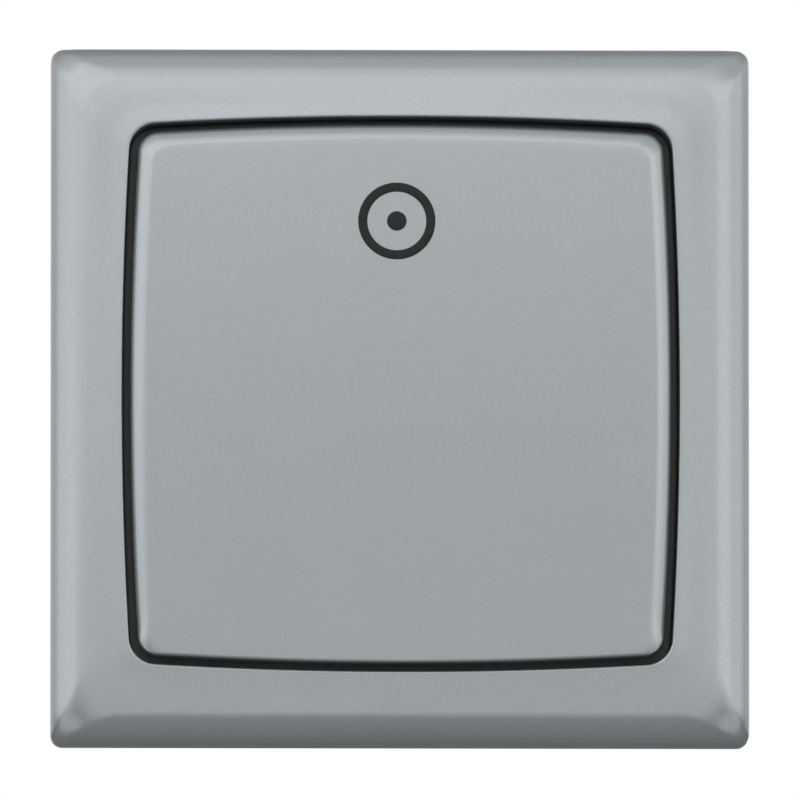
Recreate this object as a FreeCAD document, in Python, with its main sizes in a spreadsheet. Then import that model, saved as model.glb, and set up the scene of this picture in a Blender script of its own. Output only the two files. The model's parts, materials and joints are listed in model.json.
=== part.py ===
import FreeCAD, Part
import math
import os
import Sketcher

# Push button for lighting, flush mounted, one gang, momentary, with a full size rocker.
# Millimetres and degrees. X is to the right as seen from the room, Y runs into the wall and Z is up.
# The origin is the middle of the wall plane, where the frame's back rim and the ring's back lie.
# In every sketch on the XZ plane the third direction, from the wall towards the room, is called front.

SIZES = {
    # Cover frame
    "frame_side": 81.0,
    "frame_depth": 9.5,
    "frame_wall": 1.8,
    "frame_corner": 1.4,
    "shoulder_radius": 4.4,
    "face_slope": 6.0,
    "frame_border": 8.2,
    "opening_corner": 3.2,
    "side_bow": 1.0,
    "skirt_wall": 1.5,
    "skirt_back": 3.1,
    "flange_wall": 0.7,
    "flange_width": 2.9,
    "frame_catch_width": 5.2,
    "frame_catch_height": 1.2,
    "frame_catch_bite": 0.6,
    # Rocker cover
    "rocker_gap": 1.0,
    "rocker_front": 10.7,
    "rocker_crown": 0.4,
    "rocker_corner": 2.4,
    "rocker_bevel": 0.9,
    "rocker_wall": 2.0,
    "rocker_back": 6.5,
    "rocker_rib_wall": 1.2,
    "rocker_rib_height": 1.8,
    "hook_inset_x": 4.75,
    "hook_inset_z": 3.0,
    "hook_width": 4.0,
    "hook_wall": 1.2,
    "hook_bite": 0.6,
    "hook_barb": 0.8,
    "hook_clearance": 0.15,
    # Rocker carrier and its bearing
    "carrier_inset": 8.3,
    "carrier_plate": 1.2,
    "carrier_seat_gap": 0.1,
    "carrier_rim": 1.4,
    "carrier_rim_height": 1.4,
    "carrier_corner": 2.0,
    "carrier_window_side": 9.0,
    "carrier_bar": 3.0,
    "pivot_front": 5.0,
    "ear_inset": 4.7,
    "ear_wall": 2.0,
    "ear_radius": 2.4,
    "ear_clearance": 0.25,
    "cheek_wall": 2.0,
    "trunnion_radius": 1.4,
    "trunnion_clearance": 0.05,
    "rocker_tilt": 4.5,
    "finger_radius": 2.0,
    "finger_clearance": 0.05,
    # Support ring
    "ring_gap": 3.2,
    "ring_thickness": 1.0,
    "ring_cut_corner": 10.0,
    "ring_window_lip": 0.4,
    "ring_window_web": 0.6,
    "ring_window_corner": 2.0,
    "box_slot_inset": 5.5,
    "box_slot_radius": 2.1,
    "box_slot_length": 7.0,
    "tab_z": 16.0,
    "tab_width": 8.0,
    "tab_height": 4.5,
    "tab_bend": 0.7,
    "tab_clearance": 1.0,
    "tab_window_clearance": 0.3,
    # Mechanism cover
    "cover_inset_x": 0.2,
    "cover_inset_z": 0.5,
    "cover_corner": 3.0,
    "cover_plate": 1.3,
    "cover_plug_clearance": 0.3,
    "guide_radius": 3.6,
    "guide_front": 1.3,
    "guide_back": 1.5,
    "guide_window_gap": 0.4,
    # Plunger and contacts
    "stem_radius": 2.5,
    "stem_clearance": 0.08,
    "stem_front": 3.9,
    "stem_bevel": 0.6,
    "collar_radius": 3.3,
    "collar_width": 1.4,
    "collar_gap": 0.1,
    "stem_tip_radius": 1.5,
    "stem_tip_length": 2.2,
    "contact_spring_room": 3.0,
    "bridge_overhang": 2.0,
    "bridge_width": 5.0,
    "bridge_thickness": 0.8,
    "bridge_corner": 1.5,
    "contact_inset": 2.1,
    "tip_radius": 1.6,
    "tip_height": 1.0,
    "tip_bevel": 0.3,
    "contact_spare_gap": 0.03,
    "spring_wire": 0.25,
    "contact_spring_radius": 3.0,
    "contact_spring_turns": 3.0,
    "return_spring_radius": 2.5,
    "return_spring_turns": 5.0,
    "return_spring_room": 9.2,
    "spring_end_gap": 0.1,
    # Fixed contacts
    "strip_thickness": 0.8,
    "strip_inner": 4.9,
    "strip_side_gap": 0.9,
    "strip_end": 2.8,
    "ledge_height": 5.0,
    # Base housing
    "base_width": 34.4,
    "base_height": 44.0,
    "base_depth": 28.0,
    "base_corner": 6.0,
    "base_wall": 2.0,
    "base_floor": 2.0,
    "terminal_rise": 7.8,
    "terminal_room": 7.35,
    "base_edge_bevel": 0.8,
    "spring_post_radius": 4.0,
    "spring_post_pin": 1.7,
    "spring_post_pin_height": 1.5,
    "middle_wall": 1.5,
    "boss_radius": 2.6,
    "boss_inset_x": 4.8,
    "boss_inset_z": 3.0,
    # Wire terminals
    "wire_entry_radius": 1.7,
    "wire_entry_inner_inset": 0.9,
    "wire_entry_outer_inset": 2.2,
    "wire_entry_inset_z": 9.2,
    "wire_radius": 1.1,
    "clamp_strip": 0.35,
    "clamp_rise": 6.8,
    "clamp_fold_radius": 1.3,
    "clamp_leg": 4.6,
    "clamp_blade_reach": 2.0,
    "clamp_blade_lift": 0.5,
    # Release levers
    "lever_width": 2.6,
    "lever_height": 3.0,
    "lever_rise": 3.4,
    "lever_clearance": 0.1,
    "lever_proud": 0.8,
    "lever_gap": 0.25,
    "lever_wing": 0.8,
    "lever_wing_thickness": 1.0,
    # Claws
    "claw_screw_radius": 1.75,
    "claw_screw_clearance": 0.25,
    "claw_screw_length": 17.0,
    "claw_screw_head_radius": 2.9,
    "claw_screw_head_height": 2.0,
    "claw_arm": 5.5,
    "claw_pivot_back": 12.0,
    "claw_sheet": 1.5,
    "claw_width": 8.0,
    "claw_reach": 9.4,
    "claw_tooth": 1.2,
    "claw_eye_radius": 2.2,
    "claw_pin_radius": 1.0,
    "claw_pin_clearance": 0.05,
    "claw_nose_radius": 1.3,
    "claw_nose_back": 0.4,
    "claw_side_clearance": 0.2,
    "lug_wall": 2.0,
    "lug_radius": 2.9,
    "nut_side": 5.5,
    "nut_height": 2.6,
    "nut_clearance": 0.05,
    "nut_wall_gap": 0.55,
    # Housing screws
    "housing_screw_radius": 1.2,
    "housing_screw_hole": 1.4,
    "housing_screw_bite": 0.1,
    "housing_screw_head_radius": 2.3,
    "housing_screw_head_height": 1.6,
    "housing_screw_length": 11.0,
    # Shares of a screw's own sizes
    "crown_share": 0.5,
    "recess_length_share": 0.55,
    "recess_width_share": 0.14,
    "recess_depth_share": 0.6,
}

doc = FreeCAD.newDocument("push_button_switch")
sheet = doc.addObject("Spreadsheet::Sheet", "Sizes")
for row, (alias, number) in enumerate(SIZES.items(), start=1):
    sheet.set(f"A{row}", alias)
    sheet.set(f"B{row}", str(number))
    sheet.setAlias(f"B{row}", alias)
doc.recompute()


class Length:
    """A size worked out from the sheet's cells: its number now, and the expression that keeps it."""

    def __init__(self, number, text):
        self.number = number
        self.text = text

    def joined(self, other, sign, number):
        return Length(number, f"({self.text} {sign} {as_length(other).text})")

    def __add__(self, other):
        return self.joined(other, "+", self.number + as_length(other).number)

    def __sub__(self, other):
        return self.joined(other, "-", self.number - as_length(other).number)

    def __mul__(self, other):
        return self.joined(other, "*", self.number * as_length(other).number)

    def __truediv__(self, other):
        return self.joined(other, "/", self.number / as_length(other).number)

    def __neg__(self):
        return Length(-self.number, f"(0 - {self.text})")

    def __radd__(self, other):
        return as_length(other) + self

    def __rsub__(self, other):
        return as_length(other) - self

    def __rmul__(self, other):
        return as_length(other) * self


def as_length(value):
    return value if isinstance(value, Length) else Length(float(value), str(value))


def cell(alias):
    return Length(float(getattr(sheet, alias)), f"Sizes.{alias}")


def sine(angle):
    return Length(math.sin(math.radians(angle.number)), f"sin({angle.text} * 1deg)")


def cosine(angle):
    return Length(math.cos(math.radians(angle.number)), f"cos({angle.text} * 1deg)")


def tangent(angle):
    return Length(math.tan(math.radians(angle.number)), f"tan({angle.text} * 1deg)")


def bind(thing, path, value):
    thing.setExpression(path, as_length(value).text)


def new_body(label):
    body = doc.addObject("PartDesign::Body", label)
    body.Label = label
    return body


def new_sketch(body, name, plane, offset=0, shift=(0, 0)):
    """A sketch on one of the body's planes: offset along its normal, and moved within the plane."""
    sketch = body.newObject("Sketcher::SketchObject", name)
    support = [feature for feature in body.Origin.OriginFeatures if feature.Role == plane][0]
    sketch.AttachmentSupport = [(support, "")]
    sketch.MapMode = "FlatFace"
    bind(sketch, "AttachmentOffset.Base.x", shift[0])
    bind(sketch, "AttachmentOffset.Base.y", shift[1])
    bind(sketch, "AttachmentOffset.Base.z", offset)
    return sketch


def hold_point(sketch, geometry, point, place):
    """Ties a point of the sketch to two lengths from the sketch's origin."""
    for kind, value in zip(("DistanceX", "DistanceY"), place):
        hold = sketch.addConstraint(Sketcher.Constraint(kind, -1, 1, geometry, point, as_length(value).number))
        bind(sketch, f"Constraints[{hold}]", value)


def draw_path(sketch, corners, arcs=None):
    """A closed path through the corners. arcs gives, for the corner that an arc starts at, the arc's centre
    and its sense: 1 turns from the first axis to the second, -1 the other way."""
    arcs = arcs or {}
    count = len(corners)
    corners = [(as_length(u), as_length(v)) for u, v in corners]
    first = sketch.GeometryCount
    for index, (u, v) in enumerate(corners):
        end_u, end_v = corners[(index + 1) % count]
        start = FreeCAD.Vector(u.number, v.number, 0)
        end = FreeCAD.Vector(end_u.number, end_v.number, 0)
        if index not in arcs:
            sketch.addGeometry(Part.LineSegment(start, end), False)
            continue
        centre_u, centre_v, sense = arcs[index]
        centre = FreeCAD.Vector(as_length(centre_u).number, as_length(centre_v).number, 0)
        circle = Part.Circle(centre, FreeCAD.Vector(0, 0, 1), (start - centre).Length)
        angles = [math.atan2(place.y - centre.y, place.x - centre.x) for place in (start, end)]
        if sense < 0:
            angles.reverse()
        if angles[1] <= angles[0]:
            angles[1] += 2 * math.pi
        sketch.addGeometry(Part.ArcOfCircle(circle, angles[0], angles[1]), False)

    def start_point(index):
        return 2 if index in arcs and arcs[index][2] < 0 else 1

    for index in range(count):
        after = (index + 1) % count
        end_point = 3 - start_point(index)
        sketch.addConstraint(
            Sketcher.Constraint("Coincident", first + index, end_point, first + after, start_point(after)))
    for index in range(count):
        hold_point(sketch, first + index, start_point(index), corners[index])
    for index, (centre_u, centre_v, _sense) in arcs.items():
        chord_u = corners[(index + 1) % count][0].number - corners[index][0].number
        chord_v = corners[(index + 1) % count][1].number - corners[index][1].number
        kind, value = ("DistanceX", centre_u) if abs(chord_v) >= abs(chord_u) else ("DistanceY", centre_v)
        number = as_length(value).number
        hold = sketch.addConstraint(Sketcher.Constraint(kind, -1, 1, first + index, 3, number))
        bind(sketch, f"Constraints[{hold}]", value)


def draw_box(sketch, low_u, low_v, high_u, high_v):
    draw_path(sketch, [(low_u, low_v), (high_u, low_v), (high_u, high_v), (low_u, high_v)])


def draw_circle(sketch, u, v, radius):
    u, v, radius = as_length(u), as_length(v), as_length(radius)
    centre = FreeCAD.Vector(u.number, v.number, 0)
    geometry = sketch.addGeometry(Part.Circle(centre, FreeCAD.Vector(0, 0, 1), radius.number), False)
    hold_point(sketch, geometry, 3, (u, v))
    hold = sketch.addConstraint(Sketcher.Constraint("Radius", geometry, radius.number))
    bind(sketch, f"Constraints[{hold}]", radius)


def draw_wire(sketch, u, v, radius):
    """The section of a fine wire, with four flats to keep its faces few."""
    draw_path(sketch, [(u + radius, v), (u, v + radius), (u - radius, v), (u, v - radius)])


def draw_slot(sketch, u, v, length, radius, along_u):
    """A slot with round ends, centred on u, v."""
    run = length / 2 - radius
    if along_u:
        corners = [(u - run, v - radius), (u + run, v - radius), (u + run, v + radius), (u - run, v + radius)]
        draw_path(sketch, corners, {1: (u + run, v, 1), 3: (u - run, v, 1)})
    else:
        corners = [(u + radius, v - run), (u + radius, v + run), (u - radius, v + run), (u - radius, v - run)]
        draw_path(sketch, corners, {1: (u, v + run, 1), 3: (u, v - run, 1)})


def draw_round_box(sketch, half_u, half_v, corner, u=0, v=0):
    """A rectangle with round corners, centred on u, v."""
    u, v = as_length(u), as_length(v)
    flat_u, flat_v = half_u - corner, half_v - corner
    corners = [
        (u - flat_u, v - half_v), (u + flat_u, v - half_v), (u + half_u, v - flat_v), (u + half_u, v + flat_v),
        (u + flat_u, v + half_v), (u - flat_u, v + half_v), (u - half_u, v + flat_v), (u - half_u, v - flat_v),
    ]
    arcs = {
        1: (u + flat_u, v - flat_v, 1), 3: (u + flat_u, v + flat_v, 1),
        5: (u - flat_u, v + flat_v, 1), 7: (u - flat_u, v - flat_v, 1),
    }
    draw_path(sketch, corners, arcs)


def draw_bowed_square(sketch, side, bow):
    """A square whose four sides bow out by bow, and are side apart in the middle."""
    half = side / 2
    edge = half - bow
    radius = (edge * edge + bow * bow) / (2 * bow)
    corners = [(-edge, -edge), (edge, -edge), (edge, edge), (-edge, edge)]
    centre = radius - half
    draw_path(sketch, corners, {0: (0, centre, 1), 1: (-centre, 0, 1), 2: (0, -centre, 1), 3: (centre, 0, 1)})


def feature(body, kind, name, sketch, length=None, reverse=False, both=False):
    made = body.newObject(kind, name)
    made.Profile = sketch
    if length is None:
        made.Type = "ThroughAll"
    else:
        bind(made, "Length", length)
    made.Reversed = reverse
    if both:
        made.Midplane = True
    sketch.Visibility = False
    return made


def pad(body, name, sketch, length, reverse=False, both=False):
    return feature(body, "PartDesign::Pad", name, sketch, length, reverse, both)


def pocket(body, name, sketch, length=None, reverse=False, both=False):
    """Cuts against the sketch's normal, or along it when reversed, and must take material away."""
    doc.recompute()
    before = body.Shape.Volume
    made = feature(body, "PartDesign::Pocket", name, sketch, length, reverse, both)
    doc.recompute()
    if body.Shape.Volume > before - 0.001:
        raise RuntimeError(f"{name} cuts nothing")
    return made


def round_edges(body, name, wanted, radius, kind="Fillet"):
    """Rounds or chamfers the edges that the test wanted picks from the body's present shape."""
    doc.recompute()
    base = body.Tip
    picked = [f"Edge{index}" for index, edge in enumerate(base.Shape.Edges, start=1) if wanted(edge)]
    if not picked:
        raise RuntimeError(f"{name} finds no edge")
    made = body.newObject(f"PartDesign::{kind}", name)
    made.Base = (base, picked)
    bind(made, "Radius" if kind == "Fillet" else "Size", radius)
    doc.recompute()
    return made


def spread(edge):
    box = edge.BoundBox
    return box.XLength, box.YLength, box.ZLength


def runs_along_y(edge):
    across, along, up = spread(edge)
    return across < 0.01 and up < 0.01 and along > 0.01


# Values that several pieces share: sizes across and up, counted from the middle
slope = cell("face_slope")
frame_half = cell("frame_side") / 2
opening_half = frame_half - cell("frame_border")
opening_side = opening_half * 2
rocker_half = opening_half - cell("rocker_gap")
frame_inside = frame_half - cell("frame_wall")
ring_half = frame_inside - cell("ring_gap")
slot_middle = ring_half - cell("box_slot_inset")
base_half_x = cell("base_width") / 2
base_half_z = cell("base_height") / 2
room_x = base_half_x - cell("base_wall")
room_z = base_half_z - cell("base_wall")
boss_x = base_half_x - cell("boss_inset_x")
boss_z = base_half_z - cell("boss_inset_z")
window_x = room_x - cell("ring_window_lip")
window_z = boss_z - cell("housing_screw_hole") - cell("ring_window_web")
plunger_z = window_z - cell("guide_radius") - cell("guide_window_gap")
ear_inside = base_half_x - cell("ear_inset")
cheek_inside = ear_inside + cell("ear_wall") + cell("ear_clearance")
carrier_half_x = cheek_inside + cell("cheek_wall")
carrier_half_z = rocker_half - cell("carrier_inset")
hook_x = carrier_half_x - cell("hook_inset_x")
hook_z = carrier_half_z - cell("hook_inset_z")
strip_outer = room_x - cell("strip_side_gap")
strip_x = (cell("strip_inner") + strip_outer) / 2
strip_width = strip_outer - cell("strip_inner")
contact_x = cell("strip_inner") + cell("contact_inset")
inner_entry_x = cell("strip_inner") + cell("wire_entry_inner_inset")
outer_entry_x = room_x - cell("wire_entry_outer_inset")
lever_x = (inner_entry_x + outer_entry_x) / 2
wire_z = cell("wire_entry_inset_z") - base_half_z
bar_top = wire_z - cell("wire_radius")
lever_z = wire_z + cell("lever_rise")
terminal_top = wire_z + cell("terminal_rise")
clamp_top = wire_z + cell("clamp_rise")
claw_screw_x = base_half_x + cell("nut_wall_gap") + cell("nut_side") / 2
claw_pivot_x = claw_screw_x + cell("claw_arm")

# Sizes towards the room, counted from the wall
rocker_inside = cell("rocker_front") - cell("rocker_wall")
carrier_front = rocker_inside - cell("carrier_seat_gap")
carrier_back = carrier_front - cell("carrier_plate")
ring_front = cell("ring_thickness")
cover_front = ring_front + cell("cover_plate")
tab_window_front = ring_front + cell("tab_height") / 2

# Sizes into the box, counted from the wall
plunger_travel = plunger_z * sine(cell("rocker_tilt"))
collar_back = cell("guide_back") + cell("collar_gap") + cell("collar_width")
bridge_front = collar_back + cell("contact_spring_room")
bridge_back = bridge_front + cell("bridge_thickness")
post_front = bridge_back + cell("return_spring_room")
fixed_tip_front = bridge_back + cell("tip_height") + plunger_travel + cell("contact_spare_gap")
strip_front = fixed_tip_front + cell("tip_height")
strip_back = strip_front + cell("strip_thickness")
terminal_floor = strip_back + cell("terminal_room")
terminal_block = cell("base_depth") - terminal_floor
base_floor = cell("base_depth") - cell("base_floor")
fold_back = terminal_floor - cell("clamp_fold_radius") - cell("clamp_strip")
fold_low = clamp_top - 2 * (cell("clamp_strip") + cell("clamp_fold_radius"))
blade_front = strip_back + cell("clamp_blade_reach")
blade_tip = bar_top + cell("clamp_blade_lift")


# Cover frame

def mitred_block(body, half, depth, shoulder, lip_half):
    """A square block with the frame's section on all four sides: side wall, round shoulder and sloping face."""
    rise = (half - lip_half - shoulder + shoulder * sine(slope)) * tangent(slope)
    side = depth - rise - shoulder * cosine(slope)
    turn_in = shoulder - shoulder * sine(slope)
    turn_front = side + shoulder * cosine(slope)
    section = new_sketch(body, body.Name + "_section", "YZ_Plane")
    corners = [
        (0, -half), (0, half), (-side, half), (-turn_front, half - turn_in), (-depth, lip_half),
        (-depth, -lip_half), (-turn_front, turn_in - half), (-side, -half),
    ]
    draw_path(section, corners, {2: (-side, half - shoulder, 1), 6: (-side, shoulder - half, 1)})
    pad(body, body.Name + "_block", section, half * 2, both=True)
    trim = new_sketch(body, body.Name + "_trim", "XY_Plane")
    spare = shoulder
    for hand in (1, -1):
        corners = [
            (hand * half, spare), (hand * half, -side), (hand * (half - turn_in), -turn_front),
            (hand * lip_half, -depth), (hand * lip_half, -depth - spare),
            (hand * (half + spare), -depth - spare), (hand * (half + spare), spare),
        ]
        draw_path(trim, corners, {1: (hand * (half - shoulder), -side, -hand)})
    pocket(body, body.Name + "_ends", trim, both=True)


def make_cover_frame():
    depth = cell("frame_depth")
    wall = cell("frame_wall")
    hollow = new_body("frame_hollow")
    mitred_block(hollow, frame_half - wall, depth - wall, cell("shoulder_radius") - wall, opening_half)
    skirt = new_sketch(hollow, "skirt_column", "XZ_Plane", cell("skirt_back"))
    draw_bowed_square(skirt, opening_side + 2 * cell("skirt_wall"), cell("side_bow"))
    pocket(hollow, "skirt_room", skirt, reverse=True)

    frame = new_body("cover_frame")
    mitred_block(frame, frame_half, depth, cell("shoulder_radius"), opening_half)
    corner = frame_half.number - 0.01
    round_edges(frame, "frame_corners",
                lambda edge: runs_along_y(edge) and abs(edge.BoundBox.XMin) > corner
                and abs(edge.BoundBox.ZMin) > corner,
                cell("frame_corner"))
    opening = new_sketch(frame, "opening", "XZ_Plane", depth + 1)
    draw_bowed_square(opening, opening_side, cell("side_bow"))
    pocket(frame, "opening_cut", opening)
    inside = opening_half.number - cell("side_bow").number - 0.01
    round_edges(frame, "opening_corners",
                lambda edge: runs_along_y(edge) and abs(edge.BoundBox.XMin) < opening_half.number
                and abs(edge.BoundBox.XMin) > inside, cell("opening_corner"))
    doc.recompute()
    cut = frame.newObject("PartDesign::Boolean", "frame_shell")
    cut.Type = "Cut"
    cut.setObjects([hollow])
    doc.recompute()

    # A flange behind the rocker's edge closes the gap round it.
    flange = new_sketch(frame, "flange", "XZ_Plane", cell("skirt_back"))
    draw_bowed_square(flange, opening_side + cell("skirt_wall"), cell("side_bow"))
    draw_bowed_square(flange, opening_side - 2 * cell("flange_width"), cell("side_bow"))
    pad(frame, "flange_pad", flange, cell("flange_wall"))

    # Four catches inside the side walls snap into the windows of the ring's tabs.
    catch_root = frame_inside + wall / 2
    catch_tip = frame_inside - cell("tab_clearance") - cell("frame_catch_bite")
    middle = tab_window_front
    half_height = cell("frame_catch_height") / 2
    for hand, side in ((1, "right"), (-1, "left")):
        for level, end in ((1, "upper"), (-1, "lower")):
            middle_z = level * cell("tab_z")
            catch = new_sketch(frame, f"catch_{end}_{side}", "XY_Plane",
                               middle_z - cell("frame_catch_width") / 2)
            corners = [
                (hand * catch_root, -middle + half_height), (hand * frame_inside, -middle + half_height),
                (hand * catch_tip, -middle), (hand * catch_tip, -middle - half_height),
                (hand * catch_root, -middle - half_height),
            ]
            draw_path(catch, corners)
            pad(frame, f"catch_pad_{end}_{side}", catch, cell("frame_catch_width"))
    doc.recompute()
    return frame


# Rocker cover

def make_rocker_cover():
    rocker = new_body("rocker_cover")
    back = cell("rocker_back")
    front = cell("rocker_front")
    crown = cell("rocker_crown")
    half = rocker_half
    outline = new_sketch(rocker, "rocker_outline", "XZ_Plane", back)
    draw_bowed_square(outline, half * 2, cell("side_bow"))
    pad(rocker, "rocker_block", outline, front - back + crown)
    round_edges(rocker, "rocker_corners", runs_along_y, cell("rocker_corner"))
    face = new_sketch(rocker, "rocker_face", "YZ_Plane")
    face_radius = (half * half + crown * crown) / (2 * crown)
    top = front + crown
    beyond = top + crown
    corners = [(-front, -half), (-front, half), (-beyond, half), (-beyond, -half)]
    draw_path(face, corners, {0: (face_radius - top, 0, -1)})
    pocket(rocker, "rocker_crowning", face, both=True)
    rim = front.number - 0.01
    round_edges(rocker, "rocker_edge",
                lambda edge: edge.BoundBox.YMax < -rim and spread(edge)[1] < crown.number + 0.1,
                cell("rocker_bevel"), "Chamfer")
    wall = cell("rocker_wall")
    hollow = new_sketch(rocker, "rocker_hollow", "XZ_Plane", back)
    draw_bowed_square(hollow, (half - wall) * 2, cell("side_bow"))
    pocket(rocker, "rocker_shell", hollow, rocker_inside - back, reverse=True)

    for hand, side in ((1, "right"), (-1, "left")):
        rib = new_sketch(rocker, f"rocker_rib_{side}", "XZ_Plane", rocker_inside - cell("rocker_rib_height"))
        middle = hand * (carrier_half_x + half - wall) / 2
        half_rib = cell("rocker_rib_wall") / 2
        rib_top = half - wall - cell("side_bow")
        draw_box(rib, middle - half_rib, -rib_top, middle + half_rib, rib_top)
        pad(rocker, f"rocker_rib_pad_{side}", rib, cell("rocker_rib_height") + wall / 2)

    # Four hooks reach through the carrier's windows and catch behind its plate.
    hook_back = carrier_back - cell("hook_clearance") - cell("hook_barb")
    for hand, side in ((1, "right"), (-1, "left")):
        for level, end in ((1, "upper"), (-1, "lower")):
            hook = new_sketch(rocker, f"hook_{end}_{side}", "YZ_Plane",
                              hand * hook_x - cell("hook_width") / 2)
            inner_z = level * hook_z
            outer_z = level * (hook_z + cell("hook_wall"))
            barb_z = level * (hook_z + cell("hook_wall") + cell("hook_bite"))
            barb_front = hook_back + cell("hook_barb")
            root_front = rocker_inside + wall / 2
            corners = [
                (-root_front, inner_z), (-root_front, outer_z), (-barb_front, outer_z), (-barb_front, barb_z),
                (-hook_back - cell("hook_barb") / 4, barb_z), (-hook_back, outer_z), (-hook_back, inner_z),
            ]
            draw_path(hook, corners)
            pad(rocker, f"hook_pad_{end}_{side}", hook, cell("hook_width"))
    doc.recompute()
    return rocker


# Rocker carrier

def make_rocker_carrier():
    carrier = new_body("rocker_carrier")
    half_width = carrier_half_x
    half_height = carrier_half_z
    plate = new_sketch(carrier, "carrier_outline", "XZ_Plane", carrier_back)
    draw_round_box(plate, half_width, half_height, cell("carrier_corner"))
    pad(carrier, "carrier_plate", plate, cell("carrier_plate"))
    rim = new_sketch(carrier, "carrier_rim_outline", "XZ_Plane", carrier_back)
    draw_round_box(rim, half_width, half_height, cell("carrier_corner"))
    inset = cell("carrier_rim")
    draw_round_box(rim, half_width - inset, half_height - inset, cell("carrier_corner") - inset / 2)
    pad(carrier, "carrier_rim", rim, cell("carrier_rim_height"), reverse=True)

    # Hook windows, and two large windows that leave a cross bar for the finger
    windows = new_sketch(carrier, "carrier_windows", "XZ_Plane", carrier_front)
    slack = cell("hook_clearance")
    low = hook_z - slack
    high = hook_z + cell("hook_wall") + cell("hook_bite") + slack
    half_hook = cell("hook_width") / 2 + slack
    bar_half = cell("carrier_bar")
    window_half = cell("carrier_window_side") / 2
    for level in (1, -1):
        for hand in (1, -1):
            middle = hand * hook_x
            draw_box(windows, middle - half_hook, level * low, middle + half_hook, level * high)
    draw_box(windows, -window_half, -hook_z, window_half, -bar_half)
    draw_box(windows, -window_half, bar_half, window_half, plunger_z - bar_half)
    pocket(carrier, "carrier_windows_cut", windows)

    for hand, side in ((1, "right"), (-1, "left")):
        inner = cheek_inside
        outer = cheek_inside + cell("cheek_wall")
        start = inner if hand > 0 else -outer
        radius = cell("ear_radius")
        cheek = new_sketch(carrier, f"cheek_{side}", "YZ_Plane", start)
        pivot = -cell("pivot_front")
        corners = [(-carrier_back, -radius), (pivot, -radius), (pivot, radius), (-carrier_back, radius)]
        draw_path(cheek, corners, {1: (pivot, 0, 1)})
        pad(carrier, f"cheek_pad_{side}", cheek, cell("cheek_wall"))
        trunnion = new_sketch(carrier, f"trunnion_{side}", "YZ_Plane", hand * inner)
        draw_circle(trunnion, pivot, 0, cell("trunnion_radius"))
        reach = cell("ear_wall") + 2 * cell("ear_clearance")
        pad(carrier, f"trunnion_pad_{side}", trunnion, reach, reverse=hand > 0)

    # The finger that pushes the plunger, with a round end
    finger_back = cell("stem_front") + cell("finger_clearance")
    radius = cell("finger_radius")
    finger = new_sketch(carrier, "finger", "YZ_Plane", -radius)
    turn = -(finger_back + radius)
    corners = [
        (-carrier_back, plunger_z - radius), (turn, plunger_z - radius), (turn, plunger_z + radius),
        (-carrier_back, plunger_z + radius),
    ]
    draw_path(finger, corners, {1: (turn, plunger_z, 1)})
    pad(carrier, "finger_pad", finger, radius * 2)
    doc.recompute()
    return carrier


# Support ring

def make_support_ring():
    ring = new_body("support_ring")
    half = ring_half
    cut = cell("ring_cut_corner")
    outline = new_sketch(ring, "ring_outline", "XZ_Plane")
    corners = [
        (cut - half, -half), (half - cut, -half), (half, cut - half), (half, half - cut),
        (half - cut, half), (cut - half, half), (-half, half - cut), (-half, cut - half),
    ]
    draw_path(outline, corners)
    pad(ring, "ring_plate", outline, ring_front)
    window = new_sketch(ring, "ring_window", "XZ_Plane", ring_front)
    draw_round_box(window, window_x, window_z, cell("ring_window_corner"))
    pocket(ring, "ring_window_cut", window)
    slots = new_sketch(ring, "box_slots", "XZ_Plane", ring_front)
    length = cell("box_slot_length")
    radius = cell("box_slot_radius")
    for hand in (1, -1):
        draw_slot(slots, hand * slot_middle, as_length(0), length, radius, True)
        draw_slot(slots, as_length(0), hand * slot_middle, length, radius, False)
    pocket(ring, "box_slots_cut", slots)
    holes = new_sketch(ring, "ring_holes", "XZ_Plane", ring_front)
    for hand in (1, -1):
        draw_circle(holes, hand * claw_screw_x, 0, cell("claw_screw_radius") + cell("claw_screw_clearance"))
        for level in (1, -1):
            draw_circle(holes, hand * boss_x, level * boss_z, cell("housing_screw_hole"))
    pocket(ring, "ring_holes_cut", holes)

    # Four tabs, bent forward, each with a window for the frame's catch
    outer = frame_inside - cell("tab_clearance")
    thick = cell("ring_thickness")
    window_half_height = cell("frame_catch_height") / 2 + cell("tab_window_clearance")
    window_half_width = cell("frame_catch_width") / 2 + cell("tab_window_clearance")
    for hand, side in ((1, "right"), (-1, "left")):
        for level, end in ((1, "upper"), (-1, "lower")):
            middle = level * cell("tab_z")
            tab = new_sketch(ring, f"tab_{end}_{side}", "XY_Plane", middle - cell("tab_width") / 2)
            tip = ring_front + cell("tab_height")
            corners = [
                (hand * (half - thick), 0), (hand * outer, 0), (hand * outer, -tip),
                (hand * (outer - thick), -tip), (hand * (outer - thick), -ring_front),
                (hand * (half - thick), -ring_front),
            ]
            draw_path(tab, corners)
            pad(ring, f"tab_pad_{end}_{side}", tab, cell("tab_width"))
            window = new_sketch(ring, f"tab_window_{end}_{side}", "YZ_Plane", hand * outer)
            centre = -tab_window_front
            draw_box(window, centre - window_half_height, middle - window_half_width,
                     centre + window_half_height, middle + window_half_width)
            pocket(ring, f"tab_window_cut_{end}_{side}", window, thick, reverse=hand < 0)
    bend = outer.number - 0.01
    round_edges(ring, "tab_bends",
                lambda edge: abs(edge.BoundBox.YMin) < 0.01 and spread(edge)[0] < 0.01
                and spread(edge)[1] < 0.01 and abs(edge.BoundBox.XMin) > bend,
                cell("tab_bend"))
    doc.recompute()
    return ring


# Mechanism cover

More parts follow.
